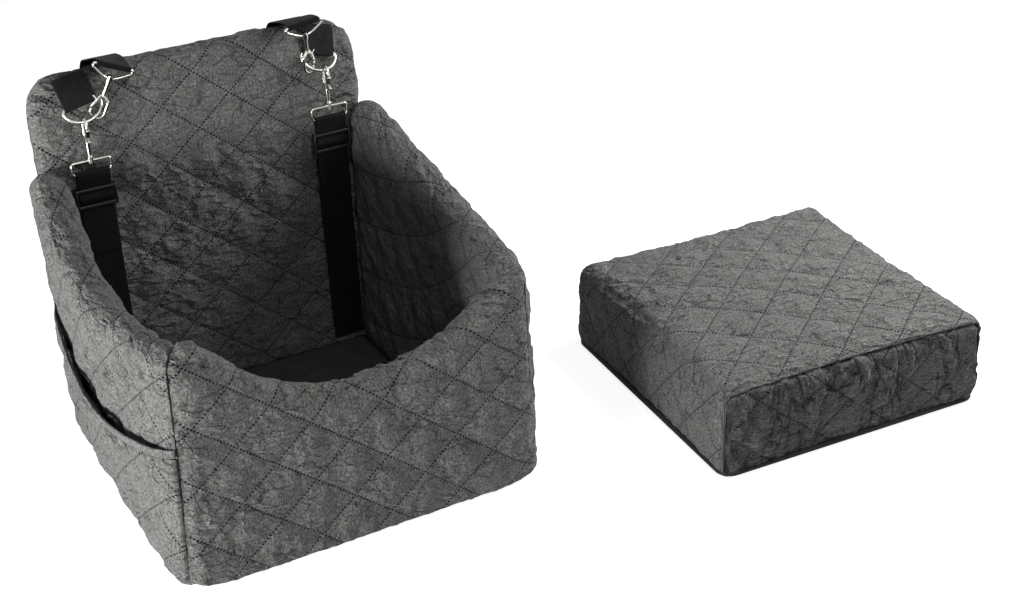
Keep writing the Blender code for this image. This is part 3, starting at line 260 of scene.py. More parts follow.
def cloud(place, scale, detail=4.0, rough=0.55, warp=0.0, kind="FBM"):
    """Noise from about 0 to 1."""
    inputs = {"Vector": place, "Scale": scale, "Detail": detail, "Roughness": rough, "Distortion": warp}
    return add_node(place.tree, "TexNoise", inputs, noise_type=kind)


def stretched(place, stretch):
    """Coordinates scaled by a factor on each axis."""
    return add_node(place.tree, "Mapping", {"Vector": place, "Scale": stretch})


def cells(place, scale, wander, warp, **settings):
    """Distance in a cell pattern whose coordinates wander by a warp."""
    tree, inputs = place.tree, {"Vector": place, "Scale": scale * wander, "Detail": 3.0}
    drift = add_node(tree, "TexNoise", inputs, "Color")
    away = add_node(tree, "VectorMath", {0: drift, 1: warp, 2: place}, operation="MULTIPLY_ADD")
    return add_node(tree, "TexVoronoi", {"Vector": away, "Scale": scale}, "Distance", **settings)


def bowls(place, scale, stretch, warp):
    """Relief from 0 to about 0.5: shallow bowls that meet in sharp crooked ridges."""
    return cells(stretched(place, stretch), scale, 0.8, (warp, warp, warp)).math("POWER", 2.0)


def creases(place, scale, stretch, warp, width):
    """1 along crooked hair-line folds that start and stop, 0 elsewhere."""
    place = stretched(place, stretch)
    edge = cells(place, scale, 0.9, (warp, warp, 0.0), feature="DISTANCE_TO_EDGE", voronoi_dimensions="2D")
    shown = cloud(place, scale * 0.55, 2.0).remap(0.45, 0.56, 0.0, 1.0)
    return edge.remap(0.0, width * scale, 1.0, 0.0) * shown


def cloth_place(tree):
    """A piece's cloth map, and its two coordinates."""
    place = add_node(tree, "UVMap", {}, uv_map="cloth")
    return place, *(add_node(tree, "SeparateXYZ", {0: place}, axis) for axis in (0, 1))


def dress(shader, colour, shade, height, inputs):
    """Give a shader a shaded colour, a relief in metres and plain inputs."""
    tone = add_node(shade.tree, "VectorMath", {0: colour, "Scale": shade}, operation="SCALE")
    bump = add_node(height.tree, "Bump", {"Height": height, "Strength": 1.0, "Distance": 1.0})
    feed(shader, {"Base Color": tone, "Normal": bump, **inputs})


GREY = (0.112, 0.112, 0.108)


def velvet(name, quilted=True, seam=None):
    """Crushed short-pile velvet on a piece's own flat map, with a front panel beyond a seam if given."""
    made, tree, shader = new_material(name)
    place, across, up = cloth_place(tree)
    # Each pattern's first number is its count per metre of cloth.
    crush = cloud(place, 26.0, 5.0, 0.65, 0.8)
    nap = cloud(stretched(place, (1.0, 0.75, 1.0)), 400.0, 1.0, 0.6)
    wide = bowls(place, 60.0, (0.55, 1.0, 1.0), 0.024)
    fine = bowls(place, 120.0, (0.60, 1.0, 1.0), 0.012)
    folds = (creases(place, 50.0, (0.42, 1.0, 1.0), 0.024, 0.0014) * 0.62
             + creases(place, 92.0, (0.85, 0.55, 1.0), 0.013, 0.0010) * 0.46)
    unrest = cloud(place, 15.0, 2.0).remap(0.36, 0.64, 0.35, 1.25)
    # Shade is a factor on the colour, height is in metres.
    shade = nap.remap(0.32, 0.68, 0.52, 1.48) * crush.remap(0.3, 0.7, 0.88, 1.12)
    # Painted highlight and shade: the crooked ridges between the bowls are painted lighter, the bowls'
    # hollows a little darker.
    shade *= ((wide * 0.55 + fine * 0.45) * unrest).remap(0.0, 0.35, 0.95, 1.10)
    # Painted shade: the hair-line folds are darkened to a quarter of the colour.
    shade *= folds.remap(0.0, 0.9, 1.0, 0.24)
    height = (wide * 0.0060 + fine * 0.0046) * unrest + nap * 0.0006 - folds * 0.0015
    if quilted:
        u, v = across * (1.0 / DIAMOND_WIDE), up * (1.0 / DIAMOND_HIGH)
        rising, falling = u + v + FAR_OFF, u - v + FAR_OFF
        dots = dots_on_lines(rising, falling).math("MAXIMUM", dots_on_lines(falling, rising))
        # Painted shade: each needle hole is darkened almost to black.
        shade *= 1.0 - dots * 0.97
        height -= dots * 0.0010
    if seam is not None:  # the panel is darker below its stitched seam, and gathered
        beyond = up - seam
        # Painted shade in the seam's groove: a dark line along the seam.
        line = beyond.math("ABSOLUTE").remap(0.0007, 0.0017, 0.88, 0.0)
        gathers = creases(place, 58.0, (1.0, 0.30, 1.0), 0.022, 0.0024) * beyond.remap(-0.004, 0.0, 1.0, 0.0)
        # Painted shade: the front panel is darker, as it faces away from the lamps, and darker still in its
        # gathers.
        panel = beyond.remap(-0.012, 0.0, 0.58, 1.0) * gathers.remap(0.0, 1.0, 1.0, 0.22)
        shade *= panel * (1.0 - line)
        height -= gathers * 0.0022 + line * 0.002
    dress(shader, GREY, shade, height, {
        "Roughness": 0.9, "Specular IOR Level": 0.08, "Sheen Weight": 0.14, "Sheen Roughness": 0.4})
    return made


velvet_grey = velvet("grey_velvet_quilted")
velvet_plain = velvet("grey_velvet_plain", quilted=False)
velvet_cushion = velvet("grey_velvet_cushion", seam=-0.1815)


# %% [markdown]
# ## The other finishes
#
# The webbing is woven nylon, with ribs about 1.5 mm apart across it and a soft shine. The black cloth under
# the seat and in its floor is thin and creased. Rings, eyes and hooks are nickel plate, slightly warm and a
# little uneven, and the sliders are moulded plastic.

# %% Black cloth, webbing, nickel and plastic
RIB_PITCH, LANE_PITCH = 0.0016, 0.0042


def weave(shader, place, shade, height, inputs):
    """Mottled black threads over a relief."""
    mottle = cloud(place, 60.0, 4.0, 0.6, 0.5).remap(0.3, 0.7, 0.7, 1.35)
    height += cloud(place, 1500.0, 1.0) * 0.00012
    dress(shader, (shade, shade, shade * 1.02), mottle, height, inputs)


def black_cloth(name, shade, gloss):
    """Thin creased cloth."""
    made, tree, shader = new_material(name)
    place = add_node(tree, "TexCoord", {}, "Object")
    height = cloud(place, 22.0, 3.0, 0.5, 1.2, "RIDGED_MULTIFRACTAL") * 0.0022
    weave(shader, place, shade, height, {"Roughness": 0.7, "Specular IOR Level": gloss})
    return made


def webbing_cloth(name, shade):
    """Woven webbing, with ribs across it and lanes along it."""
    made, tree, shader = new_material(name)
    place, across, along = cloth_place(tree)
    ribs = (along * (2.0 * math.pi / RIB_PITCH)).math("SINE")
    lanes = (across * (2.0 * math.pi / LANE_PITCH)).math("SINE")
    height = ribs * 0.00016 + lanes * 0.00010
    weave(shader, place, shade, height, {"Roughness": 0.62, "Specular IOR Level": 0.07})
    return made


def metal(name, colour, roughness):
    """Plated metal with an uneven polish."""
    made, tree, shader = new_material(name)
    place = add_node(tree, "TexCoord", {}, "Object")
    polish = cloud(place, 240.0, 3.0).remap(0.3, 0.7, roughness * 0.7, roughness * 1.4)
    feed(shader, {"Base Color": (*colour, 1.0), "Metallic": 1.0, "Roughness": polish})
    return made


black_fabric = black_cloth("black_fabric_creased", 0.0090, 0.25)
lining_cloth = black_cloth("black_lining_creased", 0.0085, 0.60)
fibre_board = black_cloth("black_fibre_board", 0.0180, 0.20)
webbing = webbing_cloth("black_webbing_ribbed", 0.0050)
tab_webbing = webbing_cloth("black_webbing_tab", 0.012)
nickel = metal("nickel_plate", (0.50, 0.485, 0.455), 0.17)
plastic, _, shader = new_material("black_plastic_moulded")
feed(shader, {"Base Color": (0.008, 0.008, 0.009, 1.0), "Roughness": 0.36, "Specular IOR Level": 0.3})
for name, finish in (("rear_panel", black_fabric), ("floor_board", fibre_board)):
    node = frame["nodes"][name]
    node.data.materials.clear()
    node.data.materials.append(finish)
print("finishes made:", len(bpy.data.materials), "materials in the file")

# %% [markdown]
# ## Laying cloth over foam
#
# A quilted sleeve could be sculpted by hand, but its pattern must stay true over long curved walls. So a
# grid is added as a primitive, and each of its points is moved to its place on the padded form: up the
# outer face, over the round rim and down the inner face. The same arithmetic gives each point its place on
# the flat cloth, so quilting, dots and folds agree everywhere.

# %% Grid helpers
def fresh_grid(name, columns, rows):
    """Add a grid, and return it with each vertex's share across and up."""
    bpy.ops.mesh.primitive_grid_add(x_subdivisions=columns, y_subdivisions=rows, size=1.0)
    piece = bpy.context.object
    piece.name = piece.data.name = name
    flat = points_of(piece)
    return piece, flat[:, 0] + 0.5, flat[:, 1] + 0.5


def read_vectors(items, attribute):
    flat = np.empty(len(items) * 3)
    items.foreach_get(attribute, flat)
    return flat.reshape(-1, 3)


def points_of(piece):
    """All vertex places of a piece as an array."""
    return read_vectors(piece.data.vertices, "co")


def set_points(piece, places):
    piece.data.vertices.foreach_set("co", np.ascontiguousarray(places, dtype=np.float64).ravel())
    piece.data.update()


def normals_of(piece):
    return read_vectors(piece.data.vertex_normals, "vector")


def raise_by(piece, heights):
    """Move each point out along its normal."""
    set_points(piece, points_of(piece) + normals_of(piece) * heights[:, None])


def corner_vertices(mesh):
    """The vertex at each corner of each face."""
    made = np.empty(len(mesh.loops), dtype=np.int32)
    mesh.loops.foreach_get("vertex_index", made)
    return made


def set_cloth_map(piece, u, v):
    """Write the flat cloth coordinates, in metres, as the piece's map."""
    mesh = piece.data
    for layer in list(mesh.uv_layers):
        mesh.uv_layers.remove(layer)
    corner = corner_vertices(mesh)
    layer = mesh.uv_layers.new(name="cloth")
    layer.data.foreach_set("uv", np.stack([u[corner], v[corner]], axis=1).ravel())


def cloth_map_of(piece):
    """Each vertex's place on the flat cloth, read back from the map."""
    mesh = piece.data
    flat = np.empty(len(mesh.loops) * 2)
    mesh.uv_layers["cloth"].data.foreach_get("uv", flat)
    made = np.zeros((len(mesh.vertices), 2))
    made[corner_vertices(mesh)] = flat.reshape(-1, 2)
    return made[:, 0], made[:, 1]


def only(piece):
    """Select one piece alone and make it active."""
    bpy.ops.object.select_all(action="DESELECT")
    piece.select_set(True)
    bpy.context.view_layer.objects.active = piece


def edit(piece, *steps):
    """Run steps in edit mode, with all of the piece selected at first."""
    only(piece)
    bpy.ops.object.mode_set(mode="EDIT")
    bpy.ops.mesh.select_all(action="SELECT")
    for step in steps:
        step()
    bpy.ops.object.mode_set(mode="OBJECT")


def turn_outward(piece):
    """Make the faces agree and point out of the body."""
    edit(piece, lambda: bpy.ops.mesh.normals_make_consistent(inside=False))


def join_foot(piece, t):
    """Join the first and last rows of a sleeve along its foot."""
    at_foot = np.minimum(t, 1.0 - t) < 1e-4

    def select_foot():
        bpy.ops.mesh.select_mode(type="EDGE")
        bpy.ops.mesh.select_all(action="DESELECT")
        bm = bmesh.from_edit_mesh(piece.data)
        for edge in bm.edges:
            edge.select_set(edge.is_boundary and all(at_foot[vertex.index] for vertex in edge.verts))
        bmesh.update_edit_mesh(piece.data)

    edit(piece, select_foot, bpy.ops.mesh.bridge_edge_loops)
    turn_outward(piece)


def close_ends(piece):
    """Cap whatever is still open."""
    edit(piece, lambda: bpy.ops.mesh.fill_holes(sides=0))
    turn_outward(piece)


def modify(piece, kind, **settings):
    """Add a modifier and apply it."""
    made = piece.modifiers.new(kind.lower(), kind)
    assign(made, **settings)
    only(piece)
    bpy.ops.object.modifier_apply(modifier=made.name)


def refine(piece, levels=1):
    """One or two Catmull-Clark levels."""
    modify(piece, "SUBSURF", levels=levels, render_levels=levels, boundary_smooth="PRESERVE_CORNERS")


def finish_piece(piece, material, slot_name, body, *nodes, fill=None, angle=50):
    """Smooth, paint and attach a finished piece to its body, and hide the solids that it stands for."""
    only(piece)
    bpy.ops.object.shade_smooth_by_angle(angle=math.radians(angle))
    piece.data.materials.clear()
    piece.data.materials.append(material)
    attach(piece, body)
    if nodes:
        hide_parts(*nodes)


# %% [markdown]
# ## Quilting relief and stuffing
#
# Each diamond is a small pillow held down by its stitches. The relief starts as arithmetic: high in a
# diamond's middle and low on its lines. Then the cloth is simulated. The stitched points are pinned, the
# cloth between them is cut a few per cent too big, and a light pressure stands for the wadding, so it
# buckles into the short folds that real quilting has. A cap keeps every point within a few millimetres of
# its form, and keeps the cloth out of the foam. Creases finer than the simulation's cells are added after
# it, as ridged noise on the flat cloth, so they run on over the rims.

# %% Quilting and stuffing helpers
def diamond(u, v):
    """0 on the stitch lines, 1 in a diamond's middle."""
    rising = np.sin(math.pi * (u / DIAMOND_WIDE + v / DIAMOND_HIGH))
    falling = np.sin(math.pi * (u / DIAMOND_WIDE - v / DIAMOND_HIGH))
    return np.abs(rising * falling) ** 0.42


def line_distance(u, v):
    """Metres to the nearest stitch line."""
    families = (u / DIAMOND_WIDE + v / DIAMOND_HIGH, u / DIAMOND_WIDE - v / DIAMOND_HIGH)
    return np.minimum(*(np.abs(share - np.round(share)) for share in families)) / LINE_SLOPE


def lattice(i, j, seed):
    """Repeatable number from -1 to 1 at each whole grid place."""
    code = (i.astype(np.int64) * 374761393 + j.astype(np.int64) * 668265263 + seed * 974711) & 0xFFFFFFFF
    code = ((code ^ (code >> 13)) * 1274126177) & 0xFFFFFFFF
    return ((code ^ (code >> 16)) & 0xFFFF) / 32767.5 - 1.0


def clouds(u, v, seed, octaves=3):
    """Smooth uneven heights from about -1 to 1, for coordinates counted in lumps."""
    total = np.zeros(len(u))
    weight = 1.0
    for octave in range(octaves):
        i, j = np.floor(u), np.floor(v)
        a, b = u - i, v - j
        a, b = a * a * (3.0 - 2.0 * a), b * b * (3.0 - 2.0 * b)
        low = lattice(i, j, seed + octave) * (1.0 - a) + lattice(i + 1, j, seed + octave) * a
        high = lattice(i, j + 1, seed + octave) * (1.0 - a) + lattice(i + 1, j + 1, seed + octave) * a
        total += weight * (low * (1.0 - b) + high * b)
        weight *= 0.5
        u, v = u * 2.03 + 17.3, v * 2.03 + 9.1
    return total


def ridges(u, v, seed, octaves=2):
    """Creased heights: 1 along crooked ridge lines, falling away from them."""
    bent_u = u + 0.55 * clouds(u * 0.6, v * 0.6, seed + 31, 2)
    bent_v = v + 0.55 * clouds(u * 0.6, v * 0.6, seed + 57, 2)
    return 1.0 - np.minimum(np.abs(clouds(bent_u, bent_v, seed, octaves)) * 2.2, 1.0)


def fade(distance, width):
    """0 at a distance of zero, rising to 1 at the width."""
    return np.clip(distance / width, 0.0, 1.0)


def bell(distance, width):
    """1 at a distance of zero, falling away on both sides."""
    return np.exp(-(distance / width) ** 2)


def stuff(piece, hold, pressure=2.4, spare=0.045, cap=0.0050, frames=12):
    """Simulate the cloth between pinned points, and cap how far it moves."""
    before = points_of(piece)
    outward = normals_of(piece)
    pins = piece.vertex_groups.new(name="stitches")
    levels = np.round(hold * 4.0) / 4.0
    for level in (0.25, 0.5, 0.75, 1.0):
        pins.add([int(index) for index in np.nonzero(levels == level)[0]], level, "REPLACE")
    cloth = piece.modifiers.new("stuffing", "CLOTH")
    assign(cloth.point_cache, frame_start=1, frame_end=frames)
    assign(cloth.settings, quality=3, mass=0.12, tension_stiffness=12.0, compression_stiffness=12.0,
           shear_stiffness=4.0, bending_stiffness=0.04, use_pressure=True, uniform_pressure_force=pressure,
           shrink_min=-spare, vertex_group_mass="stitches")
    cloth.settings.effector_weights.gravity = 0.0
    cloth.collision_settings.use_collision = False
    scene = bpy.context.scene
    for number in range(1, frames + 1):
        scene.frame_set(number)
    only(piece)
    bpy.ops.object.modifier_apply(modifier=cloth.name)
    scene.frame_set(1)
    moved = points_of(piece) - before
    inward = np.sum(moved * outward, axis=1)
    moved += outward * (np.maximum(inward, -MOST_INWARD) - inward)[:, None]
    length = np.linalg.norm(moved, axis=1)
    moved *= np.minimum(1.0, cap / np.maximum(length, 1e-9))[:, None]
    set_points(piece, before + moved)
    piece.vertex_groups.clear()
    print(piece.name, "stuffed, mean move", round(float(np.minimum(length, cap).mean()) * 1000, 2), "mm")


def crease(piece, seed, calm=None, depth=0.0015):
    """Add short creases between the stitch lines, fading where calm says so."""
    u, v = cloth_map_of(piece)
    free = fade(line_distance(u, v), 0.007)
    # Broad ridges in patches, then fine ones, with their counts per metre of cloth.
    size = ridges(u * 46.0, v * 40.0, seed) * (0.55 + 0.45 * clouds(u * 9.0, v * 9.0, seed + 5, 1))
    size += 0.45 * ridges(u * 105.0, v * 90.0, seed + 11)
    if calm is not None:
        free = free * calm(u, v)
    raise_by(piece, depth * size * free)


# %% [markdown]
# ## The three bucket walls
#
# Each wall is a foam slab with a half-round rim. The two side rims sag and bow outwards, and the front rim
# dips so that the dog can climb in. The front corners are sewn along an upright seam in the plane that
# halves the corner, so both sleeves stop at that plane, rounded by the foam under them.

# %% Wall profile
def round_inset(distance, radius):
    """How far a round corner draws a face in."""
    radius = np.maximum(radius, 1e-6)
    reach = np.clip(radius - distance, 0.0, radius)
    return radius - np.sqrt(np.maximum(radius * radius - reach * reach, 0.0))


def profile(share, apex, thick):
    """Depth, height, cloth length and shoulder for a share of the way up, over and down a wall."""
    radius = thick / 2
    shoulder = apex - radius
    rise = shoulder - FOOT
    arc = math.pi * radius
    run = share * (2 * rise + arc)
    theta = np.clip((run - rise) / radius, 0.0, math.pi)
    depth = radius - radius * np.cos(theta)
    falling = shoulder - (run - rise - arc)
    height = np.where(run > rise + arc, falling, shoulder + radius * np.sin(theta))
    height = np.where(run < rise, FOOT + run, height)
    return depth, height, run, shoulder


def corner_start(depth):
    """Distance from the corner at which the halving plane meets the face at a depth."""
    return depth + np.maximum(CORNER_ROUND - depth, 0.0) * (1.0 - math.sqrt(0.5))


def corner_draw(from_corner, depth):
    """How far the round front corner draws a wall's face in at a depth."""
    drawn = round_inset(from_corner - depth, CORNER_ROUND - depth)
    return np.where(depth < CORNER_ROUND, drawn, 0.0)


def foot_draw(height, t):
    """How far the outer face is drawn in where it turns under the foot."""
    return np.where(t < 0.5, round_inset(height, np.full_like(height, FOOT_ROUND)), 0.0)


def side_rim(y):
    """Half width at the rim and apex height of a side wall at depth y."""
    share = np.clip((y + DEPTH / 2) / (BACK_Y + DEPTH / 2), 0.0, 1.0)
    swell = np.sin(math.pi * share)
    outer = WIDTH / 2 - CORNER_LEAN + (REAR_FLARE + CORNER_LEAN) * share + RIM_BOW * swell
    apex = CORNER_HEIGHT + (REAR_HEIGHT - CORNER_HEIGHT) * share - RIM_SAG * swell
    return outer, apex


def corner_droop(y):
    """How far the right wall's front corner hangs below the left one's."""
    low = CORNER_HEIGHT - float(front_rim(np.array([WIDTH / 2 - CORNER_LEAN - RIM]))[0])
    return low * (1.0 - fade(y + DEPTH / 2, 0.16)) ** 2


def front_rim(x):
    """Apex height of the front wall at x, with its dip."""
    half = WIDTH / 2 - CORNER_LEAN - RIM
    share = np.clip(np.abs(x - DIP_SHIFT) / half, 0.0, 1.0)
    return DIP_HEIGHT + (CORNER_HEIGHT - DIP_HEIGHT) * share ** DIP_POWER


def front_form(s, t):
    """Places and flat cloth coordinates of the front sleeve."""
    x = (s - 0.5) * WIDTH
    for _ in range(3):
        depth, height, run, shoulder = profile(t, front_rim(x), WALL)
        lean = CORNER_LEAN * height / shoulder
        x = (s - 0.5) * (WIDTH - 2 * (corner_start(depth) + lean))
    y = -DEPTH / 2 + lean + depth + corner_draw(WIDTH / 2 - np.abs(x) - lean, depth)
    y += foot_draw(height, t)
    return np.stack([x, y, height], axis=1), x + FRONT_MAP[0], run + FRONT_MAP[1]


def side_form(sign):
    """Places and flat cloth coordinates of a side sleeve."""
    def form(s, t):
        y = -DEPTH / 2 + s * (BACK_Y + DEPTH / 2)
        for _ in range(3):
            outer, apex = side_rim(y)
            if sign > 0.0:
                apex = apex - corner_droop(y)
            depth, height, run, shoulder = profile(t, apex, WALL)
            lean = CORNER_LEAN * height / (CORNER_HEIGHT - RIM)
            start = -DEPTH / 2 + corner_start(depth) + lean
            end = BACK_Y + height * math.tan(RECLINE) - REAR_OPENING
            y = start + s * (end - start)
        draw = corner_draw(y + DEPTH / 2 - lean, depth)
        x = WIDTH / 2 + (outer - WIDTH / 2) * height / shoulder - depth - draw - foot_draw(height, t)
        return np.stack([sign * x, y, height], axis=1), y + SIDE_MAP[0], run + SIDE_MAP[1]
    return form


def lift_toe(piece):
    """Round the foot of the front corners, where the foam under the cloth is cut away."""
    places = points_of(piece)
    beside = np.maximum(WIDTH / 2 - np.abs(places[:, 0]), 0.0)
    behind = np.maximum(places[:, 1] + DEPTH / 2, 0.0)
    near = np.clip(1.0 - np.hypot(beside, behind) / TOE_REACH, 0.0, 1.0) ** 2
    places[:, 2] += TOE_LIFT * near * np.clip(1.0 - places[:, 2] / (TOE_LIFT * 3.0), 0.0, 1.0)
    set_points(piece, places)


# %% [markdown]
# The same steps make every sleeve, so they are written once: lay the grid on its form, join the foot, add
# the quilting, simulate, refine, crease and cap.

# %% Sew a sleeve
def lay_tube(name, columns, rows, form):
    """Lay a grid on its form and close it to a tube along its foot."""
    piece, s, t = fresh_grid(name, columns, rows)
    places, u, v = form(s, t)
    set_points(piece, places)
    set_cloth_map(piece, u, v)
    join_foot(piece, t)
    return piece, s, t, u, v


def sew_sleeve(name, columns, rows, form, seed, nodes, fill=0.9, calm=None, extra=None):
    """Lay, quilt, stuff, refine and crease one closed sleeve."""
    piece, s, t, u, v = lay_tube(name, columns, rows, form)
    # The sleeve's ends and foot stay flat, and the cloth is held along its stitch lines.
    ends = fade(np.minimum(s, 1.0 - s), 0.035) * fade(np.minimum(t, 1.0 - t), 0.05)
    quiet = np.ones(len(u)) if calm is None else calm(u, v)
    lift = (PUFF * diamond(u, v) + 0.0010 * clouds(u * 11.0, v * 11.0, seed)) * quiet
    raise_by(piece, lift * ends)
    hold = np.maximum(np.clip(1.4 - line_distance(u, v) / 0.0034, 0.0, 1.0), 1.0 - fade(ends, 0.4))
    stuff(piece, np.maximum(hold, 1.0 - fade(quiet, 0.6)))
    refine(piece)
    crease(piece, seed, calm)
    lift_toe(piece)
    if extra is not None:
        extra(piece)
    close_ends(piece)
    finish_piece(piece, velvet_grey, "grey_velvet", "seat", *nodes, fill=fill, angle=75)
    print(name, len(piece.data.polygons), "faces")


def gather_rim(piece):
    """Short gathers that cross the front rim, strongest on the right, and a tuck beside the left seam."""
    u, v = cloth_map_of(piece)
    from_crest = v - (front_rim(u - FRONT_MAP[0]) - RIM - FOOT + math.pi * RIM / 2 + FRONT_MAP[1])
    along = u * 88.0 + 0.9 * clouds(u * 22.0, v * 12.0, 91)
    strength = 0.5 + 0.5 * fade(u + 0.06, 0.16)
    size = ridges(along, v * 15.0, 93, 1) * bell(from_crest, 0.034) * strength
    # A fold stands 16 mm outside the crest, with a groove under it.
    tuck = 0.0034 * bell(from_crest + 0.016, 0.006) - 0.0046 * bell(from_crest + 0.029, 0.004)
    raise_by(piece, 0.0021 * size + tuck * bell(u + 0.178, 0.016))


sew_sleeve("front_sleeve", 84, 100, front_form, 3, ("front_cover", "front_foam"), extra=gather_rim)
for side, sign in SIDES:
    sew_sleeve(f"{side}_sleeve", 80, 120, side_form(sign), 7 + int(sign), (f"{side}_cover", f"{side}_foam"))

# %% [markdown]
# ## The tall back
#
# The back is one thick padded board that leans 4 degrees. Its edges are rounded by the foam, and its top
# corners are rounder still. It is quilted in front and over the top. Its rear lies flat under black cloth,
# so the quilting fades out past the top edge.

# %% Sew the back
BACK_TURN = BACK_HEIGHT - BACK_THICK / 2 + math.pi * BACK_THICK / 4 + BACK_MAP[1]


def back_form(s, t):
    """Places and flat cloth coordinates of the back's sleeve."""
    x = (s - 0.5 - 0.035 * np.sin(2 * math.pi * s) / math.pi) * BACK_WIDTH
    from_end = BACK_WIDTH / 2 - np.abs(x)
    thick = BACK_THICK - 2 * round_inset(from_end, np.full_like(x, BACK_EDGE))
    crown = BACK_CROWN * (x / (BACK_WIDTH / 2)) ** 2
    apex = BACK_HEIGHT - crown - round_inset(from_end, np.full_like(x, BACK_CORNER))
    depth, height, run, shoulder = profile(t, apex, thick)
    y = BACK_THICK / 2 - thick / 2 + depth
    placed = np.stack([x, BACK_Y + y * math.cos(RECLINE) + height * math.sin(RECLINE),
                       height * math.cos(RECLINE) - y * math.sin(RECLINE)], axis=1)
    placed[:, 2] = np.maximum(placed[:, 2], FOOT)
    return placed, x + BACK_MAP[0], run + BACK_MAP[1]


def back_calm(u, v):
    """1 in front and over the top, 0 on the flat rear."""
    return 1.0 - fade(v - BACK_TURN, 0.03)


sew_sleeve("back_sleeve", 84, 166, back_form, 11, ("back_cover", "back_foam"), calm=back_calm)

# %% [markdown]
# ## Side pockets
#
# A pocket is a second quilted panel, caught in the seams at its foot and both ends. Its mouth is a turned
# hem with elastic in it, which draws up, sags in the middle and stands a little off the wall.

# %% Sew the pockets
POCKET_END, POCKET_RISE, POCKET_SAG, POCKET_BULGE = 0.203, 0.007, 0.041, 0.0115
HEM, HEM_THICK, POCKET_THICK, POCKET_MAP = 0.012, 0.005, 0.003, (0.004, 0.052)
POCKET_FIRST, POCKET_LAST = {-1.0: -DEPTH / 2 + 0.0085, 1.0: -DEPTH / 2 + 0.022}, BACK_Y - 0.010


def mouth_height(s):
    """Height of the pocket's mouth at a share of the way back."""
    return POCKET_END + POCKET_RISE * (1.0 - s) - POCKET_SAG * np.sin(math.pi * s)


def on_wall(y, height, offset, sign):
    """Point off a side wall's outer face."""
    outer, apex = side_rim(y)
    x = WIDTH / 2 + (outer - WIDTH / 2) * height / (apex - RIM)
    x += offset - round_inset(y + DEPTH / 2, np.full_like(y, CORNER_ROUND))
    return np.stack([sign * x, y, height], axis=1)


def stand_off(s, height, mouth, up):
    """How far the pocket's inside stands off the wall."""
    swell = np.sin(math.pi * s)
    edge = fade(np.minimum(s, 1.0 - s), 0.07) * up
    return 0.0006 + 0.0036 * edge + POCKET_BULGE * swell * (height / mouth) ** 2


def pocket_form(sign):
    """Places and flat cloth coordinates of a pocket's panel."""
    def form(s, t):
        y = POCKET_FIRST[sign] + s * (POCKET_LAST - POCKET_FIRST[sign])
        mouth = mouth_height(s)
        up = 1.0 - np.abs(2.0 * t - 1.0)
        height = FOOT + (mouth - HEM - 0.0003 - FOOT) * up
        offset = stand_off(s, height, mouth, fade(up, 0.10)) + np.where(t < 0.5, POCKET_THICK, 0.0)
        offset -= round_inset(height, 0.009)
        return on_wall(y, height, offset, sign), y + POCKET_MAP[0], height + POCKET_MAP[1]
    return form


def hem_form(sign):
    """Places and flat cloth coordinates of a pocket's hem."""
    def form(s, t):
        y = POCKET_FIRST[sign] + s * (POCKET_LAST - POCKET_FIRST[sign])
        mouth = mouth_height(s)
        angle = 2 * math.pi * t - math.pi / 2
        across = np.sign(np.cos(angle)) * np.abs(np.cos(angle)) ** 0.7
        upward = np.sign(np.sin(angle)) * np.abs(np.sin(angle)) ** 0.7
        height = mouth - HEM / 2 + HEM / 2 * upward
        gather = 0.0006 * ridges(y * 150.0, height * 20.0, 41, 1) * fade(np.minimum(s, 1.0 - s), 0.05)
        thin = 0.35 + 0.65 * fade(np.minimum(s, 1.0 - s), 0.07)
        offset = stand_off(s, height, mouth, 1.0) + HEM_THICK / 2 * (1.0 + across) * thin + gather
        return on_wall(y, height, offset, sign), y, height + 0.010 * across
    return form


def sew_band(name, columns, rows, form, nodes):
    """Plain closed band, refined and smoothed."""
    piece = lay_tube(name, columns, rows, form)[0]
    refine(piece)
    close_ends(piece)
    finish_piece(piece, velvet_plain, "grey_velvet", "seat", *nodes, fill=0.3, angle=75)


for side, sign in SIDES:
    sew_sleeve(f"{side}_pocket_panel", 76, 76, pocket_form(sign), 17 + int(sign), (f"{side}_pocket",),
               fill=0.25)
    sew_band(f"{side}_pocket_hem_band", 150, 14, hem_form(sign), (f"{side}_pocket_hem",))

# %% [markdown]
# ## The booster cushion
#
# The cushion is a block of foam in a fitted cover. Diamonds run over its top and down its sides, and its
# front is a separate gathered panel, with a seam along the top front edge. A cube, divided and moved onto
# the domed form, gives even cells over every edge.

# %% Make the cushion
CUSHION_PLACE = Matrix.Translation((0.664, -0.190, 0.0)) @ Matrix.Rotation(math.radians(-2.9), 4, "Z")
CUSHION_X, CUSHION_Y, CUSHION_TOP = 0.420 / 2, 0.412 / 2, 0.146 - 0.012
CUSHION_FOOT, CUSHION_CROWN, CUSHION_WAIST, CUSHION_ROUND = 0.0108, 0.012, 0.006, 0.022
CUSHION_MAP = (0.014, 0.026)


def cushion_form(fx, fy, fz):
    """Places on the domed block, for shares of its half width, half depth and height."""
    rise = CUSHION_TOP - CUSHION_FOOT
    point = np.stack([fx * CUSHION_X, fy * CUSHION_Y, CUSHION_FOOT + fz * rise], axis=1)
    room = np.array([CUSHION_X - CUSHION_ROUND, CUSHION_Y - CUSHION_ROUND])
    core = point.copy()
    core[:, :2] = np.clip(point[:, :2], -room, room)
    core[:, 2] = np.minimum(point[:, 2], CUSHION_TOP - CUSHION_ROUND)
    away = point - core
    length = np.maximum(np.linalg.norm(away, axis=1), 1e-9)
    outside = (length > 1e-6)[:, None]
    point = np.where(outside, core + away / length[:, None] * CUSHION_ROUND, point)
    across, deep = 1.0 - fx * fx, 1.0 - fy * fy
    waist = CUSHION_WAIST * (np.sin(math.pi * np.clip(fz, 0.0, 1.0)) - 1.0)
    point[:, 0] += fx * waist * deep
    point[:, 1] += fy * waist * across
    point[:, 2] += CUSHION_CROWN * across * deep * fz ** 3
    return point


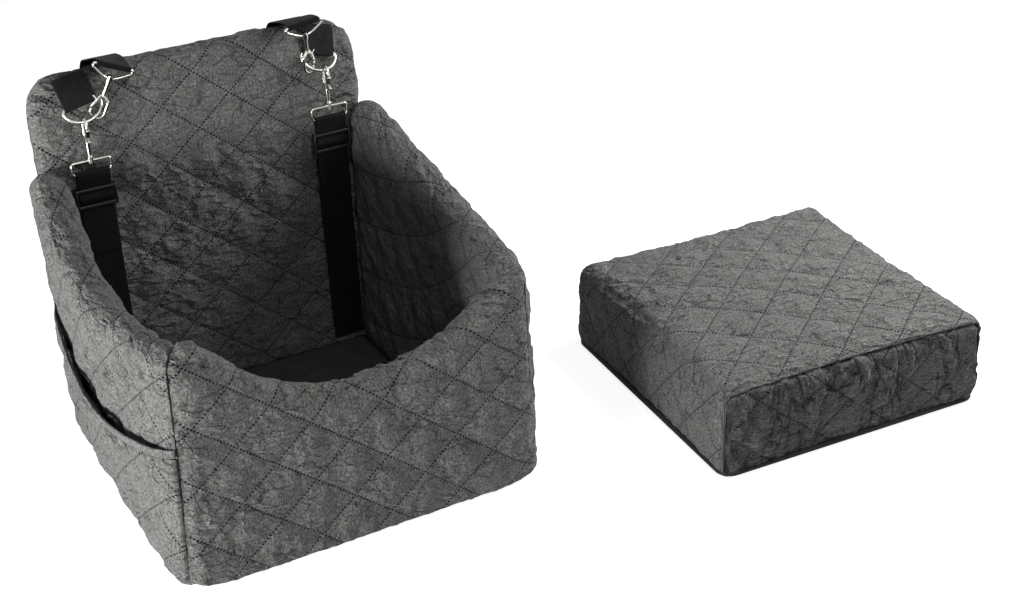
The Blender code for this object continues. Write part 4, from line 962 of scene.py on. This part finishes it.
def cushion_cloth(fx, fy, fz):
    """Flat cloth coordinates: the top's own, carried on down each side."""
    down = (1.0 - fz) * (CUSHION_TOP - CUSHION_FOOT)
    on_x = np.abs(fx) > 1.0 - 1e-5
    on_y = np.abs(fy) > 1.0 - 1e-5
    u = fx * CUSHION_X + np.where(on_x & ~on_y, np.sign(fx) * down, 0.0)
    v = fy * CUSHION_Y + np.where(on_y & ~on_x, np.sign(fy) * down, 0.0)
    return u, v


bpy.ops.mesh.primitive_cube_add(size=1.0)
cushion = bpy.context.object
cushion.name = "cushion_sleeve"
edit(cushion, lambda: bpy.ops.mesh.subdivide(number_cuts=63))
shares = points_of(cushion)
fx, fy, fz = shares[:, 0] * 2.0, shares[:, 1] * 2.0, shares[:, 2] + 0.5
u, v = cushion_cloth(fx, fy, fz)
set_points(cushion, cushion_form(fx, fy, fz))
lift = 0.0016 * clouds(u * 9.0, v * 9.0, 23)
u, v = u + CUSHION_MAP[0], v + CUSHION_MAP[1]
set_cloth_map(cushion, u, v)
turn_outward(cushion)
# The foot stays flat, the upper edges rise less, and the front seam is held down.
low = fade(fz, 0.12)
lift += PUFF * diamond(u, v)
edges = np.maximum(bell(1.0 - np.abs(fx), 0.07), bell(1.0 - np.abs(fy), 0.07)) * fade(fz, 1.0) ** 4
raise_by(cushion, lift * low * (1.0 - 0.6 * edges))
seam = bell((fy + 1.0) * CUSHION_Y, 0.004) * bell((1.0 - fz) * CUSHION_TOP, 0.004)
hold = np.maximum(np.clip(1.4 - line_distance(u, v) / 0.0040, 0.0, 1.0), seam)
hold = np.maximum(hold, np.maximum(1.0 - fade(low, 0.5), 0.5 * edges))
stuff(cushion, hold, pressure=2.6, spare=0.05, cap=0.0045)
refine(cushion)


def gather_cushion(piece):
    """Gathers that run down the front panel and back over the top from the seam."""
    u, v = cloth_map_of(piece)
    from_seam = v - CUSHION_MAP[1] + CUSHION_Y
    below = from_seam < 0.0
    along = u * 50.0 + 1.2 * clouds(u * 13.0, v * 15.0, 71)
    size = (ridges(along, v * 10.0, 73, 1) - 0.35) * bell(from_seam, np.where(below, 0.100, 0.030))
    # The seam's upper side stands up as a lip, its lower side is drawn in.
    lip = bell(from_seam - 0.002, 0.0034) - 0.9 * bell(from_seam + 0.004, 0.0034)
    raise_by(piece, np.where(below, 0.0078, 0.0026) * size + 0.0019 * lip)


crease(cushion, 27, depth=0.0018)
gather_cushion(cushion)
cushion.data.transform(CUSHION_PLACE)
finish_piece(cushion, velvet_cushion, "grey_velvet", "cushion", "cushion_cover", "cushion_foam",
             fill=0.9, angle=75)
print("cushion_sleeve", len(cushion.data.polygons), "faces")


# %% [markdown]
# Under it is a plain black base, whose turned edge shows as a thin dark line along the foot.

# %% Cushion base and floor lining
def soft_slab(name, half_x, half_y, low, high, corner, wave, cells):
    """Thin padded slab with round corners and a wavy top."""
    piece, s, t = fresh_grid(name, cells, cells)
    x, y = (s * 2.0 - 1.0) * half_x, (t * 2.0 - 1.0) * half_y
    beyond_x = np.maximum(np.abs(x) - (half_x - corner), 0.0)
    beyond_y = np.maximum(np.abs(y) - (half_y - corner), 0.0)
    both = (beyond_x > 0.0) & (beyond_y > 0.0)
    square = np.maximum(beyond_x, beyond_y)
    squeeze = np.where(both, square / np.maximum(np.hypot(beyond_x, beyond_y), 1e-9), 1.0)
    x -= np.sign(x) * beyond_x * (1.0 - squeeze)
    y -= np.sign(y) * beyond_y * (1.0 - squeeze)
    edge = np.minimum(np.minimum(s, 1.0 - s), np.minimum(t, 1.0 - t)) * 2.0 * half_x
    drop = (high - low) * 0.45 * (1.0 - fade(edge, 0.006)) ** 2
    ripple = wave * (ridges(x * 21.0, y * 21.0, 61) - 0.6) * fade(edge, 0.02)
    set_points(piece, np.stack([x, y, high - drop + ripple], axis=1))
    set_cloth_map(piece, x, y)
    modify(piece, "SOLIDIFY", thickness=(high - low) * 0.5, offset=-1.0)
    flat = points_of(piece)
    flat[:, 2] = np.maximum(flat[:, 2], low)
    set_points(piece, flat)
    refine(piece)
    turn_outward(piece)
    return piece


BASE_MARGIN, BASE_TOP, SOLE_INSET, SOLE_TOP = 0.0012, 0.0104, 0.006, 0.0028
LINING_X, LINING_Y, LINING_FOOT, LINING_ROUND = 0.1915, 0.1935, 0.0080, 0.010

base = soft_slab("cushion_base_cloth", CUSHION_X + BASE_MARGIN, CUSHION_Y + BASE_MARGIN, 0.0004, BASE_TOP,
                 CUSHION_ROUND, 0.0, 60)
base.data.transform(CUSHION_PLACE)
finish_piece(base, black_fabric, "black_fabric", "cushion", "cushion_base", fill=0.2, angle=60)
sole = soft_slab("underside_cloth", WIDTH / 2 - SOLE_INSET, DEPTH / 2 - SOLE_INSET, 0.0002, SOLE_TOP,
                 TOE_REACH, 0.0, 40)
finish_piece(sole, black_fabric, "black_fabric", "seat", "underside", fill=0.2, angle=60)
lining = soft_slab("floor_lining_pad", LINING_X, LINING_Y, LINING_FOOT, FLOOR_TOP - 0.0010, LINING_ROUND,
                   0.0022, 70)
lining.data.transform(Matrix.Translation((0.0, (BACK_Y - DEPTH / 2 + WALL) / 2, 0.0)))
finish_piece(lining, lining_cloth, "black_fabric", "seat", "floor_lining", fill=0.3, angle=60)
print("base and lining made")

# %% [markdown]
# ## Webbing
#
# All straps are the same 47 mm webbing. A strap is flat in one direction and bends in the other, so each is
# a long grid whose rows are set along a path, then given its thickness. The folds round the wire eyes and
# rings keep the true radius of wire plus half a ply.

# %% Webbing helpers
STRAP, PLY, PLY_GAP, TOUCH, STRAP_PLAY = 0.047, 0.0016, 0.0003, 0.0003, 0.001
LANES = 8
EYE_WIRE, RING_WIRE = 0.0020, 0.0022
BAR_WRAP = EYE_WIRE + TOUCH + PLY / 2
TAB_LENGTH, TAB_STEPS = 0.040, 9
TETHER_TAIL, TETHER_STAND, SLIDER_DROP, SLIDER_REST = 0.118, 0.011, 0.036, 0.013
SQUARE_EYE, VEE_EYE = 0.0165, 0.0185
REAR_LEG, CREST_RISE = 0.050, 0.0085


def arc(centre, radius, first, last, steps=12):
    """Points of (along, offset) round a bar."""
    angles = [first + (last - first) * step / steps for step in range(steps + 1)]
    return [(centre + radius * math.cos(angle), radius * math.sin(angle)) for angle in angles]


def stations_on(path, origin, along, facing, across):
    """Stations for webbing from a flat path of (along, offset) pairs."""
    made = []
    for index, (u, o) in enumerate(path):
        before, after = path[max(index - 1, 0)], path[min(index + 1, len(path) - 1)]
        step = Vector((after[0] - before[0], after[1] - before[1])).normalized()
        made.append((origin + along * u + facing * o, across, along * -step.y + facing * step.x))
    return made


def denser(path, most):
    """Split the long steps of a path."""
    made = [path[0]]
    for near, far in zip(path, path[1:]):
        count = max(int(math.dist(near, far) / most), 1)
        made += [tuple(a + (b - a) * k / count for a, b in zip(near, far)) for k in range(1, count + 1)]
    return made


def webbing_strip(name, stations, body, node, material, place=PANEL, bend=None, width=STRAP):
    """Webbing through stations of (centre, across, normal)."""
    piece, s, t = fresh_grid(name, LANES, len(stations) - 1)
    row = np.round(t * (len(stations) - 1)).astype(int)
    centres, acrosses = (np.array([list(station[part]) for station in stations]) for part in (0, 1))
    run = np.concatenate([[0.0], np.cumsum(np.linalg.norm(np.diff(centres, axis=0), axis=1))])
    set_cloth_map(piece, (s - 0.5) * width, run[row])
    set_points(piece, centres[row] + acrosses[row] * ((s - 0.5) * width)[:, None])
    if bend is not None:
        for vertex in piece.data.vertices:
            vertex.co = bend(vertex.co)
    modify(piece, "SOLIDIFY", thickness=PLY, offset=0.0)
    refine(piece, 2)
    piece.data.transform(place)
    turn_outward(piece)
    finish_piece(piece, material, "black_webbing", body, *([node] if node else []), angle=50)


def back_top(x):
    """Height of the back's top edge in the panel's frame."""
    from_end = BACK_WIDTH / 2 - abs(x)
    reach = max(BACK_CORNER - from_end, 0.0)
    drawn = BACK_CORNER - math.sqrt(BACK_CORNER ** 2 - reach ** 2)
    return BACK_HEIGHT - BACK_CROWN * (x / (BACK_WIDTH / 2)) ** 2 - drawn


def over_the_top(point):
    """Bend a point of the flat front plane over the back's round top edge."""
    radius = BACK_THICK / 2
    shoulder = back_top(point.x) - radius
    beyond = point.z - shoulder
    if beyond <= 0.0:
        return point
    reach = radius - point.y
    angle = beyond / (radius + 0.005)
    return Vector((point.x, radius - reach * math.cos(angle), shoulder + reach * math.sin(angle)))


# %% [markdown]
# ## Where the hardware sits
#
# A snap hook hangs between its strap's eye and the ring. The measured model has a swivel and a gate hinge
# for each hook, and those two axes fix the hook's whole frame: it runs along the swivel, and its gate's
# pivot lies on its open side.

# %% Hook and ring frames
PANEL_BACK = PANEL.inverted()
RING_PLACE, RING_LEAN, RING_HANG = (0.169, -0.0094, 0.457), math.radians(12.0), math.radians(-32.0)


def frame_of(origin, side, flat, along):
    """Matrix of a frame from its origin and its three axes."""
    made = Matrix((side, flat, along)).transposed().to_4x4()
    made.translation = origin
    return made


def hook_frame(name):
    """Hook frame in the panel's frame: X to the open side, Z from eye to ring."""
    swivel, gate = joints[f"{name}_swivel"], joints[f"{name}_gate_turn"]
    origin = Vector(swivel["pos_m"])
    along = Vector(swivel["axis"]).normalized()
    side = Vector(gate["pos_m"]) - origin
    side = (side - along * side.dot(along)).normalized()
    return PANEL_BACK @ frame_of(origin, side, along.cross(side), along)


def eye_frame(hook):
    """Eye frame on a hook's axis, with its strap bar across the panel."""
    along = hook.to_3x3().col[2].copy()
    across = Vector((0.0, 1.0, 0.0)).cross(along).normalized()
    return frame_of(hook.translation.copy(), across, along.cross(across), along)


def ring_frame(sign):
    """Frame of a ring's bar: X along the bar, Z up its tab."""
    place = Matrix.Translation((sign * RING_PLACE[0], *RING_PLACE[1:]))
    return place @ Matrix.Rotation(sign * RING_LEAN, 4, "Y")


# %% Tabs and tethers
RIGHTWARD, BACKWARD, UPWARD = Vector((1.0, 0.0, 0.0)), Vector((0.0, 1.0, 0.0)), Vector((0.0, 0.0, 1.0))


def tab_strip(side, sign):
    """Tab that comes down over the back's edge and folds round its ring."""
    wrap = RING_WIRE + TOUCH + PLY / 2
    upper = wrap - PLY - PLY_GAP
    path = [(TAB_LENGTH * (1.0 - k / TAB_STEPS), -wrap) for k in range(TAB_STEPS)]
    path += arc(0.0, wrap, -math.pi / 2, -math.pi * 3 / 2)
    path += [(TAB_LENGTH * (k + 1) / TAB_STEPS, -upper) for k in range(2, TAB_STEPS)]
    stations = stations_on(denser(path, 0.0025), Vector(), UPWARD, -BACKWARD, RIGHTWARD)
    turned = ring_frame(sign)
    webbing_strip(f"{side}_tab_webbing", stations, "seat", f"{side}_ring_tab", tab_webbing,
                  bend=lambda point: over_the_top(turned @ point), width=STRAP - 2 * TOUCH)


def tether_strip(side):
    """Strap up the inside of the back, folded through the eye and doubled under its slider."""
    hook = hook_frame(f"{side}_tether")
    foot = Vector((hook.translation.x, -TETHER_STAND, FLOOR_TOP + 0.0005))
    along = (hook.translation - foot).normalized()
    across = Vector((0.0, 1.0, 0.0)).cross(along).normalized()
    facing = along.cross(across)
    facing = -facing if facing.y > 0.0 else facing
    bar = (hook.translation - foot).length - SQUARE_EYE
    base = -BAR_WRAP
    doubled = base + PLY + PLY_GAP
    slider, settle = bar - SLIDER_DROP, bar - SLIDER_DROP + SLIDER_REST
    path = [(0.0, base), (bar / 2, base)] + arc(bar, BAR_WRAP, -math.pi / 2, math.pi / 2)
    path += [((bar + settle) / 2, (BAR_WRAP + doubled) / 2), (settle, doubled), (bar - TETHER_TAIL, doubled)]
    stations = stations_on(denser(path, 0.004), foot, along, facing, across)
    webbing_strip(f"{side}_tether_webbing", stations, "seat", f"{side}_tether_strap", webbing)
    middle = foot + along * slider + facing * ((base + doubled) / 2)
    return PANEL @ frame_of(middle, across, facing, across.cross(facing))


slider_places = {}
for side, sign in SIDES:
    tab_strip(side, sign)
    slider_places[side] = tether_strip(side)


# %% [markdown]
# The top straps go over the back's crest and down behind it. Each twists a little on its way from the level
# crest to its leaning hook.

# %% Top straps
def top_strip(side):
    """Strap from its hook's eye over the crest and down the rear face."""
    eye = eye_frame(hook_frame(f"{side}_top"))
    across = eye.to_3x3().col[0].copy()
    across = -across if across.x < 0.0 else across
    bar = eye.translation - eye.to_3x3().col[2] * VEE_EYE
    lifted = Vector((-across.z, 0.0, across.x))
    radius = BACK_THICK / 2
    rear = radius + TOUCH + PLY / 2
    over = rear + CREST_RISE
    shoulder = back_top(bar.x) - radius
    stations = [(bar + BACKWARD * 0.007 - lifted * BAR_WRAP, across, -lifted)]
    for step in range(13):
        angle = -math.pi / 2 - math.pi * step / 12
        outward = BACKWARD * math.cos(angle) + lifted * math.sin(angle)
        stations.append((bar + outward * BAR_WRAP, across, outward))
    start = bar + lifted * BAR_WRAP
    crest = Vector((bar.x, radius, shoulder + over))
    for share in (step / 6 for step in range(1, 6)):
        ease = share * share * (3.0 - 2.0 * share)
        centre = start.lerp(crest, share) + UPWARD * (0.0030 * math.sin(math.pi * share))
        stations.append((centre, across.lerp(RIGHTWARD, ease).normalized(),
                         lifted.lerp(UPWARD, ease).normalized()))
    for step in range(13):
        angle = math.pi / 2 * (1.0 - step / 12)
        outward = BACKWARD * math.cos(angle) + UPWARD * math.sin(angle)
        stations.append((Vector((bar.x, radius, shoulder)) + outward * over, RIGHTWARD, outward))
    for share in (step / 6 for step in range(1, 7)):
        centre = Vector((bar.x, radius + over + (rear - over) * share, shoulder - REAR_LEG * share))
        stations.append((centre, RIGHTWARD, BACKWARD))
    webbing_strip(f"{side}_top_webbing", stations, "seat", f"{side}_top_strap", webbing)


for side, _ in SIDES:
    top_strip(side)
print("webbing made")

# %% [markdown]
# ## Rings, eyes and snap hooks
#
# The half-round rings and the eyes are bent from wire. A wire is drawn as a curve with a round bevel and
# then made into a mesh. The snap hooks are die-cast: a stud that swivels in the eye's boss, a collar, a
# shank and a bow, with a sprung gate on a riveted pin. The path of the bar carries its radius at each point,
# so stud, collar and nose come from one bar.

# %% Wire helpers
def wire(name, points, radii, cyclic=False):
    """Round bar along a path, with a radius at each point, as a closed mesh."""
    data = bpy.data.curves.new(name, "CURVE")
    assign(data, dimensions="3D", bevel_depth=1.0, bevel_resolution=6, use_fill_caps=True,
           twist_mode="MINIMUM")
    spline = data.splines.new("POLY")
    spline.points.add(len(points) - 1)
    for target, place, radius in zip(spline.points, points, radii):
        assign(target, co=(*place, 1.0), radius=radius)
    spline.use_cyclic_u = cyclic
    piece = bpy.data.objects.new(name, data)
    bpy.context.collection.objects.link(piece)
    only(piece)
    bpy.ops.object.convert(target="MESH")
    piece = bpy.context.object
    edit(piece, lambda: bpy.ops.mesh.remove_doubles(threshold=0.000005))
    turn_outward(piece)
    return piece


def rounded(points, times, cyclic=True):
    """Cut each corner of a path twice over, so that it bends smoothly."""
    for _ in range(times):
        pairs = list(zip(points, points[1:] + points[:1])) if cyclic else list(zip(points, points[1:]))
        made = [] if cyclic else [points[0]]
        for near, far in pairs:
            made += [near.lerp(far, 0.25), near.lerp(far, 0.75)]
        points = made if cyclic else made + [points[-1]]
    return points


def plate(name, outline, half):
    """Flat plate from an outline in the hook's plane, as thick as twice half."""
    bpy.ops.mesh.primitive_circle_add(vertices=len(outline), radius=1.0, fill_type="NGON")
    piece = bpy.context.object
    piece.name = name
    for vertex, (x, z) in zip(piece.data.vertices, outline):
        vertex.co = (x, 0.0, z)
    modify(piece, "SOLIDIFY", thickness=half * 2, offset=0.0)
    modify(piece, "BEVEL", width=0.00025, segments=2, limit_method="ANGLE", angle_limit=math.radians(50.0))
    turn_outward(piece)
    return piece


def capsule(start, start_radius, end, end_radius, steps=12):
    """Outline round two circles joined by straight sides."""
    heading = math.atan2(end[1] - start[1], end[0] - start[0])
    points = []
    for centre, radius, side in ((end, end_radius, -1.0), (start, start_radius, 1.0)):
        for step in range(steps + 1):
            angle = heading + side * math.pi / 2 + step / steps * math.pi
            points.append((centre[0] + radius * math.cos(angle), centre[1] + radius * math.sin(angle)))
    return points


def rod(radius, half, turn=None):
    """Cylinder along Z, or turned to another axis."""
    bpy.ops.mesh.primitive_cylinder_add(vertices=32, radius=radius, depth=half * 2)
    made = bpy.context.object
    if turn is not None:
        made.data.transform(Matrix.Rotation(math.pi / 2, 4, turn))
    return made


def carve(piece, tool, operation="DIFFERENCE"):
    """Boolean with a tool that is then dropped."""
    modify(piece, "BOOLEAN", operation=operation, solver="EXACT", object=tool)
    bpy.data.objects.remove(tool)


# %% Rings and eyes
RING_BAR, RING_HALF, RING_DROP, RING_BEND = 0.0230, 0.0260, 0.022, 0.003
BOSS, BOSS_BORE = (0.0042, 0.0028), (0.0023, 0.0056)  # radius and half length


def make_ring(side, sign):
    """Half-round ring: a straight bar and a half ellipse that hangs from it."""
    points = [Vector((RING_BAR * share, 0.0, 0.0)) for share in (-1.0, -0.5, 0.0, 0.5, 1.0)]
    points += [Vector((RING_HALF * math.cos(angle), 0.0, -RING_BEND - RING_DROP * math.sin(angle)))
               for angle in [math.pi * step / 44 for step in range(45)]]
    points = rounded(points, 2)
    ring = wire(f"{side}_ring_wire", points, [RING_WIRE] * len(points), cyclic=True)
    ring.data.transform(PANEL @ ring_frame(sign) @ Matrix.Rotation(RING_HANG, 4, "X"))
    finish_piece(ring, nickel, "nickel", f"{side}_ring", f"{side}_ring", angle=60)


def square_eye():
    """Outline of a rectangular eye with round corners, below the hook's boss."""
    half, depth, round_off = STRAP / 2 + STRAP_PLAY + EYE_WIRE, SQUARE_EYE / 2, 0.004
    made = []
    for quarter in range(4):
        x = (half - round_off) * (1 if quarter in (0, 3) else -1)
        z = (depth - round_off) * (1 if quarter < 2 else -1) - depth
        for angle in ((quarter + step / 8) * math.pi / 2 for step in range(9)):
            made.append(Vector((x + round_off * math.cos(angle), 0.0, z + round_off * math.sin(angle))))
    return made


def vee_eye():
    """Outline of an eye that widens from the boss down to its bar."""
    half, foot, shoulder, cut = STRAP / 2 + STRAP_PLAY + EYE_WIRE, -VEE_EYE, -0.0135, 0.002
    right = [(0.0065, 0.0), (half - cut, shoulder + cut), (half, shoulder), (half, foot + cut),
             (half - cut, foot)]
    loop = [Vector((x, 0.0, z)) for x, z in right + [(-x, z) for x, z in reversed(right)]]
    return rounded(loop, 3)


def make_eye(name, outline):
    """Wire eye with a boss, bored for the hook's stud."""
    eye = wire(f"{name}_eye_wire", outline, [EYE_WIRE] * len(outline), cyclic=True)
    carve(eye, rod(*BOSS), "UNION")
    carve(eye, rod(*BOSS_BORE))
    eye.data.transform(PANEL @ eye_frame(hook_frame(name)))
    finish_piece(eye, nickel, "nickel", "seat", f"{name}_eye", angle=35)


for side, sign in SIDES:
    make_ring(side, sign)
    make_eye(f"{side}_tether", square_eye())
    make_eye(f"{side}_top", vee_eye())
print("rings and eyes made")

# %% [markdown]
# The gate is forked over the hook's lug, so it is a plate with a thumb tab, cut by the lug's own round and
# by the pin's bore. It turns about the same pivot as in the measured model.

# %% Snap hooks
SHANK_END, SPINE_START, BOW, BOW_CENTRE, NOSE_END = 0.0240, 0.0340, 0.0092, 0.0500, 0.0470
SHANK, BOW_WIRE, STUD, STUD_HEAD, COLLAR, BOSS_HALF = 0.0026, 0.0022, 0.0019, 0.0032, 0.0036, 0.0032
PIVOT, BORE, BORE_HALF, LUG_HALF = (0.0052, 0.0325), 0.0011, 0.0046, 0.0013
FORK_ROUND, FORK_HALF, THUMB_HALF = 0.0031, 0.0016, 0.0018
GATE_TIP, TIP_GAP, GATE_HALF = 0.0017, 0.0013, 0.0023
THUMB_REACH, THUMB_TURN = 0.0062, math.radians(-32.0)
PIN_INNER, PIN_OUTER, PIN_HEAD, PIN_SHAFT = 0.0026, 0.0032, 0.0014, 0.0008


def hook_bar():
    """Path and radii from the riveted stud to the nose."""
    spots = [(-BOSS_HALF - 0.0014, 0.0028), (-BOSS_HALF - 0.0011, STUD_HEAD), (-BOSS_HALF, STUD_HEAD),
             (-BOSS_HALF + 0.0001, STUD), (BOSS_HALF - 0.0001, STUD), (BOSS_HALF, COLLAR),
             (BOSS_HALF + 0.0026, COLLAR), (BOSS_HALF + 0.0039, SHANK), (SHANK_END, SHANK)]
    points = [Vector((0.0, 0.0, along)) for along, radius in spots]
    radii = [radius for along, radius in spots]
    for share in (step / 14 for step in range(1, 15)):
        ease = share * share * (3.0 - 2.0 * share)
        points.append(Vector((-BOW * ease, 0.0, SHANK_END + (SPINE_START - SHANK_END) * share)))
        radii.append(SHANK + (BOW_WIRE - SHANK) * ease)
    for angle in (math.pi * (1.0 - step / 32) for step in range(33)):
        points.append(Vector((BOW * math.cos(angle), 0.0, BOW_CENTRE + BOW * math.sin(angle))))
        radii.append(BOW_WIRE)
    points += [Vector((BOW, 0.0, NOSE_END + 0.0006)), Vector((BOW, 0.0, NOSE_END))]
    radii += [0.0021, 0.0016]
    return points, radii


def make_snap(name):
    """Hook with its lug, forked gate with its thumb tab, and riveted pin."""
    place = PANEL @ hook_frame(name)
    at_pivot = place @ Matrix.Translation((PIVOT[0], 0.0, PIVOT[1]))
    hook = wire(f"{name}_snap_hook", *hook_bar())
    carve(hook, plate("lug", capsule((0.0, SHANK_END), SHANK, PIVOT, SHANK), LUG_HALF), "UNION")
    bore = rod(BORE, BORE_HALF, "X")
    bore.data.transform(Matrix.Translation((PIVOT[0], 0.0, PIVOT[1])))
    carve(hook, bore)
    tip = (BOW - PIVOT[0], NOSE_END - TIP_GAP - GATE_TIP - PIVOT[1])
    gate = plate(f"{name}_snap_gate", capsule((0.0, 0.0), SHANK, tip, GATE_TIP), GATE_HALF)
    reach = (BORE + THUMB_REACH * math.cos(THUMB_TURN), THUMB_REACH * math.sin(THUMB_TURN))
    carve(gate, plate("thumb", capsule((BORE, 0.0), BORE, reach, BORE), THUMB_HALF), "UNION")
    carve(gate, rod(FORK_ROUND, FORK_HALF, "X"))
    carve(gate, rod(BORE, BORE_HALF, "X"))
    half_pin = [(PIN_OUTER, BORE), (PIN_OUTER - 0.0002, PIN_HEAD), (PIN_INNER, PIN_HEAD),
                (PIN_INNER - 0.0001, PIN_SHAFT)]
    spots = [(-y, radius) for y, radius in half_pin] + half_pin[::-1]
    points = [Vector((0.0, y, 0.0)) for y, radius in spots]
    pin = wire(f"{name}_snap_pin", points, [radius for y, radius in spots])
    for piece, turned, body, node in ((hook, place, "hook", "hook"), (gate, at_pivot, "gate", "gate"),
                                      (pin, at_pivot, "hook", "gate_pin")):
        piece.data.transform(turned)
        finish_piece(piece, nickel, "nickel", f"{name}_{body}", f"{name}_{node}", angle=35)


for side, _ in SIDES:
    for kind in ("tether", "top"):
        make_snap(f"{side}_{kind}")
print("snap hooks made")


# %% [markdown]
# ## Sliders
#
# A slider is one moulded frame of two rails and three bars. The webbing goes behind the outer bars and is
# folded over the middle one, which shows as a low hump that travels with the slider. Softened edges catch
# the light as moulded plastic does.

# %% Sliders
SLIDER_HALF, RAIL, RAIL_FRONT, RAIL_BACK = 0.0145, 0.0035, 0.0034, 0.0030
FOLD_HALF, FOLD_RISE = 0.0085, 0.0030


def rounded_box(low, high, soft):
    """Box between two corners, with bevelled edges."""
    bpy.ops.mesh.primitive_cube_add(size=1.0)
    made = bpy.context.object
    size = [b - a for a, b in zip(low, high)]
    centre = [(a + b) / 2 for a, b in zip(low, high)]
    made.data.transform(Matrix.Translation(centre) @ Matrix.Diagonal((*size, 1.0)))
    modify(made, "BEVEL", width=soft, segments=3)
    return made


def make_slider(side):
    """Two rails, three bars and the fold of webbing over the middle bar."""
    front = PLY + PLY_GAP / 2 + TOUCH
    inner, half = STRAP / 2 + STRAP_PLAY, SLIDER_HALF
    deep, high = -front - RAIL_BACK, front + RAIL_FRONT
    slider, rail = (rounded_box((low, deep, -half), (low + RAIL, high, half), 0.0014)
                    for low in (-inner - RAIL, inner))
    slider.name = f"{side}_slider_frame"
    carve(slider, rail, "UNION")
    reach = inner + RAIL / 2
    for low, high in ((half - 0.0056, half), (-half, 0.0050 - half)):
        carve(slider, rounded_box((-reach, front, low), (reach, front + 0.0032, high), 0.0013), "UNION")
    carve(slider, rounded_box((-reach, -front - 0.0028, -0.0025), (reach, -front, 0.0025), 0.0012), "UNION")
    slider.data.transform(slider_places[side])
    turn_outward(slider)
    finish_piece(slider, plastic, "black_plastic", f"{side}_slider", f"{side}_slider", angle=40)
    rise = [(FOLD_HALF * share, front + PLY / 2 + 0.0002 + FOLD_RISE * math.cos(math.pi / 2 * share) ** 2)
            for share in (step / 8 for step in range(-8, 9))]
    stations = stations_on(rise, Vector(), UPWARD, BACKWARD, RIGHTWARD)
    webbing_strip(f"{side}_slider_fold", stations, f"{side}_slider", None, webbing, place=slider_places[side])


for side, _ in SIDES:
    make_slider(side)
print("sliders made")

# %% [markdown]
# A black gusset closes the rear end of each side wall, beside the back. It is a flat strip of lining cloth.

# %% Gussets
GUSSET_FOOT, GUSSET_TOP, GUSSET_HALF = 0.004, REAR_HEIGHT - 0.007, 0.0012
for side, sign in SIDES:
    inner, outer = BACK_WIDTH / 2 + TOUCH, WIDTH / 2 - TOUCH
    outline = [(inner, GUSSET_FOOT), (outer, GUSSET_FOOT), (outer + 0.0045, GUSSET_TOP - 0.005),
               (outer + 0.0015, GUSSET_TOP), (inner, GUSSET_TOP)]
    gusset = plate(f"{side}_gusset_cloth", [(sign * x, z) for x, z in outline], GUSSET_HALF)
    gusset.data.transform(PANEL @ Matrix.Translation((0.0, -0.0030, 0.0)))
    finish_piece(gusset, black_fabric, "black_fabric", "seat", f"{side}_gusset", angle=40)
